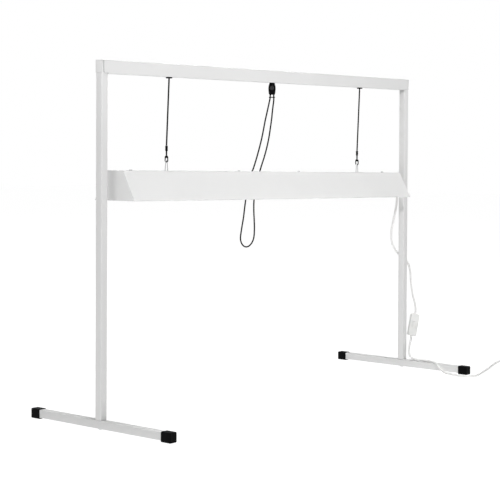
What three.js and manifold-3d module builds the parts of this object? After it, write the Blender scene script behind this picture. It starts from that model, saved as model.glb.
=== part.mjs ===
// A plant stand: two square-tube T legs joined by a folded sheet bar, with one long fluorescent
// grow light hung from the bar on two cords. Millimetres, +Z up, the floor at zero, the bar along X.
import * as THREE from "three";
import { mergeVertices } from "three/addons/utils/BufferGeometryUtils.js";
import Module from "manifold-3d";

const wasm = await Module();
wasm.setup();

// Driving dimensions of the stand
const standWidth = 1310;
const standHeight = 885;
const footLength = 475;
const seatGap = 0.2;
const runningGap = 0.3;
const overrun = 2;

// Square steel tube of the legs and feet
const tube = { size: 20, wall: 1.2, cornerRadius: 1.8 };
const bore = tube.size - 2 * tube.wall;
const uprightX = (standWidth - tube.size) / 2;

// Moulded cap on each end of a foot
const cap = {
  wall: 1.3, length: 30, endWall: 3, floorWall: 2.8, cornerRadius: 2.4, edge: 0.8,
};
const footBottom = cap.floorWall + seatGap;
const footTop = footBottom + tube.size;

// Bolt that holds a leg on its foot, and the threaded block inside the leg
const footBolt = { headRadius: 7, headHeight: 2.4, shankRadius: 3, reach: 42 };
const legBlock = { height: 26, fit: 0.3 };

// Folded sheet bar over the tops of the legs
const bar = {
  height: 32.4, sheet: 1.2, sideFit: 0.4, flangeSetback: 5.8, endRise: 1.6, lipWidth: 6.5,
  cornerRadius: 3,
};
const barBottom = standHeight - bar.height;
const barHalfDepth = tube.size / 2 + bar.sideFit + bar.sheet;
const slotHalfWidth = barHalfDepth - bar.lipWidth;
const webUnderside = standHeight - bar.sheet;

// Bolt through the back of the bar into a rivet nut in the leg
const barBolt = { headRadius: 5, headHeight: 3, shankRadius: 2.4, reach: 12 };
const rivetNut = { radius: 3.5, bulgeRadius: 5, bulgeLength: 3, length: 9, holeFit: 0.3 };

// Black cord of the lift, and the guides that it passes through
const cord = { radius: 2, sides: 8, bendRadius: 9, runHeight: 10 };
const guide = { radius: 8, neckFit: 0.3, flange: 3, boreFit: 0.6, sides: 16 };
const guideBottom = barBottom - seatGap - guide.flange;

// Spring lock under the middle of the bar, which grips both cords
const lock = {
  radius: 10, height: 32.2, depthShare: 0.9, boreRadius: 5.9, boreDepth: 7, buttonHeight: 18,
  neckHalfLength: 7, clipHeight: 2, clipOverlap: 2.8, sides: 22, turn: THREE.MathUtils.degToRad(-51),
};
const lockTop = barBottom - seatGap;
const lockBottom = lockTop - lock.height;
const legSpread = 2.5;
const channel = {
  halfWidth: 4.9, halfDepth: 2.4, cavityRadius: 5, cavityTop: 30.2, cavityBottom: 23.2, overlap: 1.4,
  flareTop: 12.8, flareHalfWidth: 7.1,
};
// Heights above the lock's bottom at which the cords start to twist, run straight and spread apart
const cordPath = { twistStart: 30.4, twistEnd: 23.4, spreadStart: 14.6, spread: 4.35 };
const button = { radius: 5.6, frontReach: 11.5, backReach: 4, travel: 2.2, wall: 0.7 };
const tie = {
  halfLength: 8.6, halfDepth: 4.1, height: 2.4, drop: 8.3, spread: 4.9, lean: 1.5, holeFit: 1,
};

// Light fixture: a folded sheet hood, hung a little lower at its right end
const hood = {
  endClear: 41, height: 73.4, topWidth: 56, mouthWidth: 136, sheet: 0.8, hem: 6,
  bottom: 536.6, setBack: 8, tilt: THREE.MathUtils.degToRad(1),
};
const hoodLength = standWidth - 2 * tube.size - 2 * hood.endClear;
const housing = { width: 40, height: 24, sheet: 0.8, endGap: 5, cornerRadius: 1 };
const housingScrew = { radius: 4, headHeight: 2.2, shankRadius: 1.9, reach: 6, endInset: 54 };
const ballast = { length: 320, width: 30, height: 17, cornerRadius: 1.5, screwInset: 30 };
const terminal = { length: 42, width: 20, height: 14, gap: 80 };
const lamp = {
  radius: 7.9, endClear: 19.5, capRadius: 8.3, capLength: 12, axisHeight: 22, sides: 20,
};
const lampLength = hoodLength - 2 * lamp.endClear;
const pin = { radius: 1.2, spacing: 5, length: 7, sides: 8 };
const holder = {
  width: 22, thickness: 11, belowAxis: 12, slotFit: 0.6, slotDepth: 8, roundRadius: 4,
};

// Wire hanger, ring, cord end and crimped sleeve above each end of the hood
const hanger = {
  inset: 183, wireRadius: 1.1, footSpread: 4.8, topRadius: 2.6, height: 22.6, belowSheet: 3,
  holeFit: 0.4,
};
const hangerX = hoodLength / 2 - hanger.inset;
const ring = {
  bottom: 20.7, top: 39, halfWidth: 6, halfThickness: 0.9, holeBottom: 23.8, holeTop: 32.4,
  holeHalfWidth: 3,
};
const sleeve = { bottom: 49.8, top: 63.2, radius: 3.4, fit: 0.3 };

// White mains lead with its switch, coil and plug
const lead = { radius: 3.2, sides: 8 };
const relief = {
  baseRadius: 7, baseThickness: 3, rootRadius: 5.2, tipRadius: 3.9, neckRadius: 5, neckReach: 4,
  holeFit: 0.5, forward: 12, aboveMouth: 16.8, drop: 29, reach: 10.2, bendShare: 0.6,
};
const switchBody = {
  width: 27, depth: 18, cornerRadius: 4.5, edge: 1.8, entryRadius: 3.7, entryDepth: 6, turn: -38,
};
const rockerPiece = { width: 11, length: 17, sunk: 2.4, fit: 0.4, dish: 1.2, throw: 7 };
const plug = {
  length: 34, width: 25, height: 20, neckLength: 16, neckRadius: 4.6, neckRootRadius: 6.3,
  cornerRadius: 5, edge: 2.5, bladeLength: 16, bladeThickness: 1.5, bladeWidth: 6.3,
  bladeSpacing: 12.7, bladeOffset: 3.6, groundRadius: 2.4, groundLength: 19, groundOffset: 4.5,
};
const coil = {
  middleRadius: 35, spacing: 7.1, layerHeight: 6.9, turnsEachWay: 1.5, stepsEachTurn: 24, sides: 6,
  dip: 1.4, leadOut: 28,
};

function finish(color, roughness, metalness = 0) {
  return (name) => new THREE.MeshStandardMaterial({ name, color, roughness, metalness });
}
const white = finish(0xe9e9e7, 0.42);
const black = finish(0x141415, 0.55);
const steel = finish(0xb9babc, 0.32, 1);
const glass = finish(0xf3f5f2, 0.3);

const group = new THREE.Group();
const fixture = new THREE.Group();
fixture.position.set(0, hood.setBack, hood.bottom);
fixture.rotation.y = hood.tilt;
fixture.updateMatrixWorld(true);
group.add(fixture);

function place(name, geometry, material, parent = group) {
  const mesh = new THREE.Mesh(geometry, material(name));
  mesh.name = name;
  parent.add(mesh);
  return mesh;
}

// Solids are joined and cut as closed meshes
function solid(geometry) {
  const bare = geometry.clone();
  bare.deleteAttribute("normal");
  bare.deleteAttribute("uv");
  const merged = mergeVertices(bare);
  return new wasm.Manifold(
    new wasm.Mesh({
      numProp: 3,
      vertProperties: Float32Array.from(merged.attributes.position.array),
      triVerts: Uint32Array.from(merged.index.array),
    }),
  );
}

function shapeOf(manifold) {
  const mesh = manifold.getMesh();
  const geometry = new THREE.BufferGeometry();
  const positions = new Float32Array(mesh.numVert * 3);
  for (let i = 0; i < mesh.numVert; i++)
    positions.set(mesh.vertProperties.subarray(i * mesh.numProp, i * mesh.numProp + 3), i * 3);
  geometry.setAttribute("position", new THREE.BufferAttribute(positions, 3));
  geometry.setIndex(new THREE.BufferAttribute(Uint32Array.from(mesh.triVerts), 1));
  geometry.computeVertexNormals();
  return geometry;
}

function join(...geometries) {
  return shapeOf(geometries.map(solid).reduce((a, b) => a.add(b)));
}

function cut(geometry, ...tools) {
  return shapeOf(tools.map(solid).reduce((a, b) => a.subtract(b), solid(geometry)));
}

function block(low, high) {
  const geometry = new THREE.BoxGeometry(high[0] - low[0], high[1] - low[1], high[2] - low[2]);
  return geometry.translate((low[0] + high[0]) / 2, (low[1] + high[1]) / 2, (low[2] + high[2]) / 2);
}

function rod(from, to, radius, sides = 20, endRadius = radius) {
  const a = new THREE.Vector3(...from);
  const b = new THREE.Vector3(...to);
  const geometry = new THREE.CylinderGeometry(endRadius, radius, a.distanceTo(b), sides);
  const turn = new THREE.Quaternion().setFromUnitVectors(
    new THREE.Vector3(0, 1, 0),
    b.clone().sub(a).normalize(),
  );
  const middle = a.clone().add(b).divideScalar(2);
  return geometry.applyQuaternion(turn).translate(middle.x, middle.y, middle.z);
}

function roundedRectangle(width, height, radius, path = new THREE.Shape()) {
  const x = width / 2;
  const y = height / 2;
  path.moveTo(x - radius, -y);
  path.absarc(x - radius, -y + radius, radius, -Math.PI / 2, 0);
  path.absarc(x - radius, y - radius, radius, 0, Math.PI / 2);
  path.absarc(-x + radius, y - radius, radius, Math.PI / 2, Math.PI);
  path.absarc(-x + radius, -y + radius, radius, Math.PI, Math.PI * 1.5);
  path.closePath();
  return path;
}

function extrude(shape, depth, curveSegments = 4, edge = 0) {
  const geometry = new THREE.ExtrudeGeometry(shape, {
    depth: depth - 2 * edge,
    curveSegments,
    bevelEnabled: edge > 0,
    bevelThickness: edge,
    bevelSize: edge,
    bevelOffset: -edge,
    bevelSegments: 1,
  });
  return geometry.translate(0, 0, edge);
}

function polygon(points) {
  return new THREE.Shape(points.map(([x, y]) => new THREE.Vector2(x, y)));
}

// An extrusion drawn in Y and Z and pushed along X, from a start to an end
function alongX(shape, start, end, curveSegments) {
  const geometry = extrude(shape, end - start, curveSegments);
  return geometry.rotateZ(Math.PI / 2).rotateY(Math.PI / 2).translate(start, 0, 0);
}

// A curve that passes through listed points, one section at each point
class ListedCurve extends THREE.Curve {
  constructor(points) {
    super();
    this.points = points;
  }

  getPoint(t, target = new THREE.Vector3()) {
    const place = t * (this.points.length - 1);
    const index = Math.min(Math.floor(place), this.points.length - 2);
    return target.lerpVectors(this.points[index], this.points[index + 1], place - index);
  }

  getPointAt(u, target) {
    return this.getPoint(u, target);
  }

  getTangentAt(u, target) {
    return this.getTangent(u, target);
  }
}

function tubeThrough(points, radius, sides) {
  const section = new THREE.Shape();
  for (let i = 0; i <= sides; i++) {
    const angle = (2 * Math.PI * (i % sides)) / sides;
    if (i === 0) section.moveTo(radius, 0);
    else section.lineTo(radius * Math.cos(angle), radius * Math.sin(angle));
  }
  return new THREE.ExtrudeGeometry(section, {
    steps: points.length - 1,
    extrudePath: new ListedCurve(points),
    bevelEnabled: false,
  });
}

function smoothRoute(list, steps) {
  const points = list.map((p) => new THREE.Vector3(...p));
  const curve = new THREE.CatmullRomCurve3(points, false, "centripetal");
  curve.arcLengthDivisions = 2000;
  return curve.getSpacedPoints(steps);
}

// Straight runs with a round bend at each inner corner
function bentRoute(corners, radius, stepsEachBend) {
  const points = corners.map((p) => new THREE.Vector3(...p));
  const route = [points[0]];
  for (let i = 1; i < points.length - 1; i++) {
    const before = points[i - 1].clone().sub(points[i]).normalize();
    const after = points[i + 1].clone().sub(points[i]).normalize();
    const half = before.angleTo(after) / 2;
    const setOff = radius / Math.tan(half);
    const inward = before.clone().add(after).normalize();
    const centre = points[i].clone().addScaledVector(inward, radius / Math.sin(half));
    const start = points[i].clone().addScaledVector(before, setOff).sub(centre);
    const end = points[i].clone().addScaledVector(after, setOff).sub(centre);
    const sweep = start.angleTo(end);
    for (let k = 0; k <= stepsEachBend; k++) {
      const share = k / stepsEachBend;
      const a = Math.sin((1 - share) * sweep) / Math.sin(sweep);
      const b = Math.sin(share * sweep) / Math.sin(sweep);
      route.push(start.clone().multiplyScalar(a).addScaledVector(end, b).add(centre));
    }
  }
  route.push(points[points.length - 1]);
  return route;
}

// Square tube with round corners, standing from one height to another
function squareTube(length) {
  const outline = roundedRectangle(tube.size, tube.size, tube.cornerRadius);
  outline.holes.push(roundedRectangle(bore, bore, tube.cornerRadius - tube.wall, new THREE.Path()));
  return extrude(outline, length, 3);
}

function makeFoot(side, x) {
  const length = footLength - 2 * (cap.endWall + seatGap);
  const foot = squareTube(length).translate(0, 0, -length / 2).rotateX(Math.PI / 2);
  foot.translate(x, 0, footBottom + tube.size / 2);
  const hole = rod(
    [x, 0, footBottom - overrun], [x, 0, footTop + overrun], footBolt.shankRadius + runningGap, 16,
  );
  place(`foot_${side}`, cut(foot, hole), white);

  for (const [end, sign] of [["front", -1], ["rear", 1]]) {
    const width = tube.size + 2 * (seatGap + cap.wall);
    const height = footBottom + tube.size + seatGap + cap.wall;
    const outer = extrude(roundedRectangle(width, height, cap.cornerRadius), cap.length, 2, cap.edge);
    const pocketSize = tube.size + 2 * seatGap;
    const pocket = extrude(
      roundedRectangle(pocketSize, pocketSize, tube.cornerRadius), cap.length - cap.endWall + overrun, 3,
    );
    pocket.translate(0, footBottom + tube.size / 2 - height / 2, -overrun);
    const shell = cut(outer, pocket).rotateX(Math.PI / 2).translate(0, 0, height / 2);
    if (sign > 0) shell.rotateZ(Math.PI);
    shell.translate(x, sign * (footLength / 2 - cap.length), 0);
    place(`foot_cap_${side}_${end}`, shell, black);
  }
}

function makeUpright(side, x) {
  const bottom = footTop + seatGap;
  const top = webUnderside - seatGap;
  const leg = squareTube(top - bottom).translate(x, 0, bottom);
  const nutHole = rod(
    [x, 0, barMiddle()], [x, tube.size, barMiddle()], rivetNut.radius + rivetNut.holeFit, 16,
  );
  place(`upright_${side}`, cut(leg, nutHole), white);

  const size = bore - 2 * legBlock.fit;
  const plain = block(
    [x - size / 2, -size / 2, bottom + seatGap],
    [x + size / 2, size / 2, bottom + legBlock.height],
  );
  const thread = rod(
    [x, 0, bottom - overrun], [x, 0, bottom + legBlock.height + overrun],
    footBolt.shankRadius + runningGap, 16,
  );
  place(`leg_block_${side}`, cut(plain, thread), steel);

  const headTop = footBottom - seatGap;
  const head = rod([x, 0, headTop - footBolt.headHeight], [x, 0, headTop], footBolt.headRadius, 20);
  const shank = rod(
    [x, 0, headTop - footBolt.headHeight / 2], [x, 0, headTop + footBolt.reach],
    footBolt.shankRadius, 16,
  );
  place(`foot_bolt_${side}`, join(head, shank), steel);
}

function barMiddle() {
  return standHeight - bar.height / 2;
}

// Front or back face of the bar: set in from the ends, and shorter over the legs
function barFlange() {
  const outer = standWidth / 2 - bar.flangeSetback;
  const inner = standWidth / 2 - tube.size;
  const high = barBottom + bar.endRise;
  const r = bar.cornerRadius;
  const shape = new THREE.Shape();
  shape.moveTo(-outer, standHeight);
  shape.lineTo(-outer, high + r);
  shape.absarc(-outer + r, high + r, r, Math.PI, Math.PI * 1.5);
  shape.lineTo(-inner, high);
  shape.lineTo(-inner, barBottom);
  shape.lineTo(inner, barBottom);
  shape.lineTo(inner, high);
  shape.lineTo(outer - r, high);
  shape.absarc(outer - r, high + r, r, -Math.PI / 2, 0);
  shape.lineTo(outer, standHeight);
  return extrude(shape, bar.sheet, 4).rotateX(Math.PI / 2);
}

function makeBar() {
  const end = standWidth / 2 + bar.sheet;
  const inner = standWidth / 2 - tube.size - runningGap;
  const web = block([-end, -barHalfDepth, webUnderside], [end, barHalfDepth, standHeight]);
  const pieces = [
    barFlange().translate(0, -barHalfDepth + bar.sheet, 0),
    barFlange().translate(0, barHalfDepth, 0),
    block([-inner, -barHalfDepth, barBottom], [inner, -slotHalfWidth, barBottom + bar.sheet]),
    block([-inner, slotHalfWidth, barBottom], [inner, barHalfDepth, barBottom + bar.sheet]),
  ];
  for (const sign of [-1, 1]) {
    const faces = [sign * (standWidth / 2 + seatGap), sign * end].sort((a, b) => a - b);
    pieces.push(
      block(
        [faces[0], -tube.size / 2, barBottom + bar.endRise],
        [faces[1], tube.size / 2, standHeight - bar.sheet / 2],
      ),
    );
  }
  const holes = [-1, 1].map((sign) =>
    rod(
      [sign * uprightX, tube.size / 2 - overrun / 2, barMiddle()],
      [sign * uprightX, barHalfDepth + overrun, barMiddle()],
      barBolt.shankRadius + runningGap, 16,
    ),
  );
  place("top_bar", cut(join(web, ...pieces), ...holes), white);
}

function makeBarBolt(side, x) {
  const seat = barHalfDepth + seatGap;
  const z = barMiddle();
  const head = rod([x, seat, z], [x, seat + barBolt.headHeight, z], barBolt.headRadius, 20);
  const shank = rod(
    [x, seat + barBolt.headHeight / 2, z], [x, seat - barBolt.reach, z], barBolt.shankRadius, 16,
  );
  place(`bar_bolt_${side}`, join(head, shank), steel);

  const inside = tube.size / 2 - tube.wall - seatGap;
  const outside = tube.size / 2;
  const hollow = barBolt.shankRadius + runningGap;
  const profile = [
    [hollow, outside - rivetNut.length], [rivetNut.radius, outside - rivetNut.length],
    [rivetNut.radius, inside - rivetNut.bulgeLength],
    [rivetNut.bulgeRadius, inside - rivetNut.bulgeLength], [rivetNut.bulgeRadius, inside],
    [rivetNut.radius, inside], [rivetNut.radius, outside], [hollow, outside],
  ];
  place(`rivet_nut_${side}`, turned(profile, 12).translate(x, 0, z), steel);
}

// A ring with a closed section: radius first, then the distance along the axis, which is Y
function turned(profile, sides) {
  const points = [...profile, profile[0]].map(([r, y]) => new THREE.Vector2(r, y));
  return new THREE.LatheGeometry(points, sides);
}

function makeGuide(side, x) {
  const hole = cord.radius + guide.boreFit;
  const neck = slotHalfWidth - guide.neckFit;
  const lipTop = barBottom + bar.sheet + seatGap;
  const profile = [
    [hole, guideBottom], [guide.radius, guideBottom], [guide.radius, barBottom - seatGap],
    [neck, barBottom - seatGap], [neck, lipTop], [guide.radius, lipTop],
    [guide.radius, lipTop + guide.flange], [hole, lipTop + guide.flange],
  ];
  const bush = turned(profile, guide.sides).rotateX(Math.PI / 2);
  place(`cord_guide_${side}`, bush.translate(x, 0, 0), black);
}

// Outline of the lock's barrel, as shares of its radius and its height
const barrelShares = [
  [0, 0], [0.8, 0], [0.9, 0.08], [0.98, 0.36], [1, 0.55], [0.86, 0.82], [0.66, 1], [0, 1],
];

function makeLock() {
  const barrel = new THREE.LatheGeometry(
    barrelShares.map(([r, z]) => new THREE.Vector2(r * lock.radius, z * lock.height)), lock.sides,
  );
  barrel.rotateX(Math.PI / 2).scale(1, lock.depthShare, 1).rotateZ(lock.turn);
  barrel.translate(0, 0, lockBottom);
  const neckHalfDepth = slotHalfWidth - guide.neckFit;
  const clipBottom = barBottom + bar.sheet + seatGap;
  const neck = block(
    [-lock.neckHalfLength, -neckHalfDepth, lockTop - lock.clipHeight],
    [lock.neckHalfLength, neckHalfDepth, clipBottom + lock.clipHeight],
  );
  const clip = block(
    [-lock.neckHalfLength, -neckHalfDepth - lock.clipOverlap, clipBottom],
    [lock.neckHalfLength, neckHalfDepth + lock.clipOverlap, clipBottom + lock.clipHeight],
  );
  const cavityTop = lockBottom + channel.cavityTop;
  const cavityBottom = lockBottom + channel.cavityBottom;
  const upper = block(
    [-channel.halfWidth, -channel.halfDepth, cavityTop - channel.overlap],
    [channel.halfWidth, channel.halfDepth, clipBottom + lock.clipHeight + overrun],
  );
  const lower = block(
    [-channel.halfWidth, -channel.halfDepth, lockBottom - overrun],
    [channel.halfWidth, channel.halfDepth, cavityBottom + channel.overlap],
  ).rotateZ(lock.turn);
  const cavity = rod([0, 0, cavityBottom], [0, 0, cavityTop], channel.cavityRadius, 24);
  const slope = (channel.flareHalfWidth - channel.halfWidth) / channel.flareTop;
  const flareEnd = channel.flareHalfWidth + slope * overrun;
  const flare = extrude(
    polygon([
      [-flareEnd, lockBottom - overrun], [flareEnd, lockBottom - overrun],
      [channel.halfWidth, lockBottom + channel.flareTop],
      [-channel.halfWidth, lockBottom + channel.flareTop],
    ]),
    2 * channel.halfDepth,
  );
  flare.rotateX(Math.PI / 2).translate(0, channel.halfDepth, 0).rotateZ(lock.turn);
  const z = lockBottom + lock.buttonHeight;
  const hole = rod([0, -lock.radius - overrun, z], [0, lock.boreDepth, z], lock.boreRadius, 24);
  const voids = [upper, lower, cavity, flare, hole.rotateZ(lock.turn)];
  place("lock_body", cut(join(barrel, neck, clip), ...voids), black);

  const plain = rod([0, -button.frontReach, z], [0, button.backReach, z], button.radius, 24);
  const halfSlot = button.radius - button.wall;
  const slot = block(
    [-halfSlot, -channel.halfDepth - button.travel, z - lock.radius],
    [halfSlot, channel.halfDepth, z + lock.radius],
  );
  place("lock_button", cut(plain, slot).rotateZ(lock.turn), black);

  const top = lockBottom - tie.drop + tie.height;
  const outline = roundedRectangle(2 * tie.halfLength, 2 * tie.halfDepth, tie.halfDepth - seatGap);
  const bead = extrude(outline, tie.height, 4).translate(0, tie.lean, top - tie.height);
  const holes = [-1, 1].map((sign) =>
    rod(
      [sign * tie.spread, tie.lean, top - tie.height - overrun],
      [sign * tie.spread, tie.lean, top + overrun], cord.radius + tie.holeFit, 16,
    ),
  );
  place("cord_tie", cut(bead, ...holes).rotateZ(lock.turn), black);
}

// Each lift cord rises through its guide, runs inside the bar and comes down through the lock,
// where the pair twists from the bar's direction to the lock's own
function makeBarCord(side, sign) {
  const run = webUnderside - cord.runHeight;
  const inLock = (spread, height) => [
    sign * spread * Math.cos(lock.turn), sign * spread * Math.sin(lock.turn), lockBottom + height,
  ];
  const corners = [
    [sign * hangerX, 0, guideBottom],
    [sign * hangerX, 0, run],
    [sign * legSpread, 0, run],
    [sign * legSpread, 0, lockBottom + cordPath.twistStart],
    inLock(legSpread, cordPath.twistEnd),
    inLock(legSpread, cordPath.spreadStart),
    inLock(cordPath.spread, overrun),
  ];
  const route = bentRoute(corners, cord.bendRadius, 5);
  place(`bar_cord_${side}`, tubeThrough(route, cord.radius, cord.sides), black);
}

// Spare length of the lift cords: a loop that hangs from the lock, over the back of the hood
const spareRoute = [
  [-2.8, 3.5, 821.5], [-2.6, 4, 817.4], [-1.9, 4.75, 813.2], [-2.2, 6, 806], [-4.5, 9, 788],
  [-7.4, 12.2, 768], [-10.2, 15, 750], [-14, 24, 701], [-20, 34, 655], [-25.5, 43, 620],
  [-27, 48, 607], [-21, 60, 575], [-12, 79, 544], [-9, 84.5, 530], [-13, 85, 507], [-17, 85, 484],
  [-23, 85, 460], [-28, 85, 439], [-30, 85, 424], [-26.5, 85, 413], [-17, 85, 403.5],
  [-5, 85, 400], [7, 85, 402], [20, 85, 411], [27.5, 85, 424], [30, 85, 449], [29, 85, 472],
  [27, 85, 502], [27.5, 84.5, 530], [26, 79, 544], [17, 60, 575], [7, 48, 607], [6, 43, 620],
  [12, 34, 655], [15, 24, 696], [17, 14.2, 757], [15.2, 11.5, 768], [10.2, 4.6, 788],
  [5.6, -1.8, 806], [4.25, -2.87, 813.2], [3.4, -3.4, 817.4], [2.8, -3.5, 821.5],
];

function makeSpareCord() {
  const route = smoothRoute(spareRoute, 56);
  place("spare_cord", tubeThrough(route, cord.radius, cord.sides), black);
}

// Profile of the hood in Y and Z: sloped walls, flat top, and a hem folded in along the mouth
function hoodOutline() {
  const mouth = hood.mouthWidth / 2;
  const top = hood.topWidth / 2;
  const slant = Math.hypot(mouth - top, hood.height) / hood.height;
  const across = hood.sheet * slant;
  const inset = ((mouth - top) * hood.sheet) / hood.height;
  return polygon([
    [-mouth, 0], [-mouth + hood.hem, 0], [-mouth + hood.hem, hood.sheet],
    [-mouth + across + inset, hood.sheet], [-top - inset + across, hood.height - hood.sheet],
    [top + inset - across, hood.height - hood.sheet], [mouth - across - inset, hood.sheet],
    [mouth - hood.hem, hood.sheet], [mouth - hood.hem, 0], [mouth, 0], [top, hood.height],
    [-top, hood.height],
  ]);
}

function toFixture(point) {
  return fixture.worldToLocal(new THREE.Vector3(...point));
}

// Where the middle line of the hood's top meets a height above it, at one hanger
function hangerBase(sign) {
  const onTop = hood.bottom + hood.height - sign * hangerX * Math.tan(hood.tilt);
  return [sign * hangerX, hood.setBack, onTop];
}

function hangerHoles() {
  const holes = [];
  for (const sign of [-1, 1]) {
    const [x, y, z] = hangerBase(sign);
    for (const foot of [-1, 1]) {
      const at = toFixture([x + foot * hanger.footSpread, y, z]);
      holes.push(
        rod(
          [at.x, at.y, at.z - hanger.belowSheet - overrun], [at.x, at.y, at.z + overrun],
          hanger.wireRadius + hanger.holeFit, 12,
        ),
      );
    }
  }
  return holes;
}

const screwOuter = hoodLength / 2 - housingScrew.endInset;
const screwInner = ballast.length / 2 - ballast.screwInset;
const screwPlaces = [-screwOuter, -screwInner, screwInner, screwOuter];

function screwHoles() {
  return screwPlaces.map((x) =>
    rod(
      [x, 0, hood.height - housingScrew.reach - overrun], [x, 0, hood.height + overrun],
      housingScrew.shankRadius + runningGap, 12,
    ),
  );
}

// Where the mains lead leaves the right end panel
const reliefY = hood.setBack - relief.forward;
const reliefHeight = hood.bottom + relief.aboveMouth;

function reliefPlace() {
  return toFixture([hoodLength / 2, reliefY, reliefHeight]);
}

function makeHood() {
  const half = hoodLength / 2 - hood.sheet - seatGap;
  const sheet = alongX(hoodOutline(), -half, half);
  place("hood", cut(sheet, ...hangerHoles(), ...screwHoles()), white, fixture);

  const mouth = hood.mouthWidth / 2;
  const top = hood.topWidth / 2;
  const plate = polygon([[-mouth, 0], [mouth, 0], [top, hood.height], [-top, hood.height]]);
  for (const [side, sign] of [["left", -1], ["right", 1]]) {
    const faces = [sign * (hoodLength / 2 - hood.sheet), (sign * hoodLength) / 2];
    const panel = alongX(plate, Math.min(...faces), Math.max(...faces));
    const at = reliefPlace();
    const hole = rod(
      [at.x - overrun, at.y, at.z], [at.x + overrun, at.y, at.z],
      relief.neckRadius + relief.holeFit, 20,
    );
    place(`end_panel_${side}`, sign > 0 ? cut(panel, hole) : panel, white, fixture);
  }
}

function makeHousing() {
  const top = hood.height - hood.sheet - seatGap;
  const half = hoodLength / 2 - hood.sheet - housing.endGap;
  const outline = roundedRectangle(housing.width, housing.height, housing.cornerRadius);
  outline.holes.push(
    roundedRectangle(
      housing.width - 2 * housing.sheet, housing.height - 2 * housing.sheet,
      Math.max(housing.cornerRadius - housing.sheet, housing.cornerRadius / 4), new THREE.Path(),
    ),
  );
  const sleeveTube = alongX(outline, -half, half, 3).translate(0, 0, top - housing.height / 2);
  place("ballast_housing", cut(sleeveTube, ...hangerHoles(), ...screwHoles()), white, fixture);

  const floor = top - housing.height + housing.sheet + seatGap;
  const ballastShape = roundedRectangle(ballast.width, ballast.height, ballast.cornerRadius);
  const ballastBody = alongX(ballastShape, -ballast.length / 2, ballast.length / 2, 3);
  place("ballast", ballastBody.translate(0, 0, floor + ballast.height / 2), steel, fixture);
  const terminalStart = ballast.length / 2 + terminal.gap;
  const terminalBody = block(
    [terminalStart, -terminal.width / 2, floor],
    [terminalStart + terminal.length, terminal.width / 2, floor + terminal.height],
  );
  place("terminal_block", terminalBody, white, fixture);

  screwPlaces.forEach((x, i) => {
    const seat = hood.height + seatGap;
    const head = rod([x, 0, seat], [x, 0, seat + housingScrew.headHeight], housingScrew.radius, 16);
    const shank = rod(
      [x, 0, seat + housingScrew.headHeight / 2], [x, 0, seat - housingScrew.reach],
      housingScrew.shankRadius, 12,
    );
    place(`housing_screw_${i + 1}`, join(head, shank), steel, fixture);
  });
}

function makeLamp() {
  const end = lampLength / 2;
  const z = lamp.axisHeight;
  const housingBottom = hood.height - hood.sheet - seatGap - housing.height;
  const glassEnd = end - lamp.capLength;
  const glassTube = rod([-glassEnd, 0, z], [glassEnd, 0, z], lamp.radius, lamp.sides);
  place("lamp_tube", glassTube, glass, fixture);
  for (const [side, sign] of [["left", -1], ["right", 1]]) {
    const start = sign * (glassEnd + seatGap);
    const body = rod([start, 0, z], [sign * end, 0, z], lamp.capRadius, lamp.sides);
    const pins = [-1, 1].map((way) => {
      const height = z + (way * pin.spacing) / 2;
      const root = [sign * (end - pin.radius), 0, height];
      return rod(root, [sign * (end + pin.length), 0, height], pin.radius, pin.sides);
    });
    place(`lamp_cap_${side}`, join(body, ...pins), steel, fixture);

    const near = sign * (end + seatGap);
    const far = sign * (end + seatGap + holder.thickness);
    const faces = [near, far].sort((a, b) => a - b);
    const low = z - holder.belowAxis;
    const outline = new THREE.Shape();
    const w = holder.width / 2;
    const r = holder.roundRadius;
    outline.moveTo(-w + r, low);
    outline.lineTo(w - r, low);
    outline.absarc(w - r, low + r, r, -Math.PI / 2, 0);
    outline.lineTo(w, housingBottom - seatGap);
    outline.lineTo(-w, housingBottom - seatGap);
    outline.lineTo(-w, low + r);
    outline.absarc(-w + r, low + r, r, Math.PI, Math.PI * 1.5);
    const slotHalf = pin.radius + holder.slotFit;
    const slotReach = pin.spacing / 2 + slotHalf;
    const slotEnds = [near - sign * overrun, near + sign * holder.slotDepth].sort((a, b) => a - b);
    const slot = block(
      [slotEnds[0], -slotHalf, z - slotReach], [slotEnds[1], slotHalf, z + slotReach],
    );
    const holderBody = alongX(outline, faces[0], faces[1], 4);
    place(`lamp_holder_${side}`, cut(holderBody, slot), white, fixture);
  }
}

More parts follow.
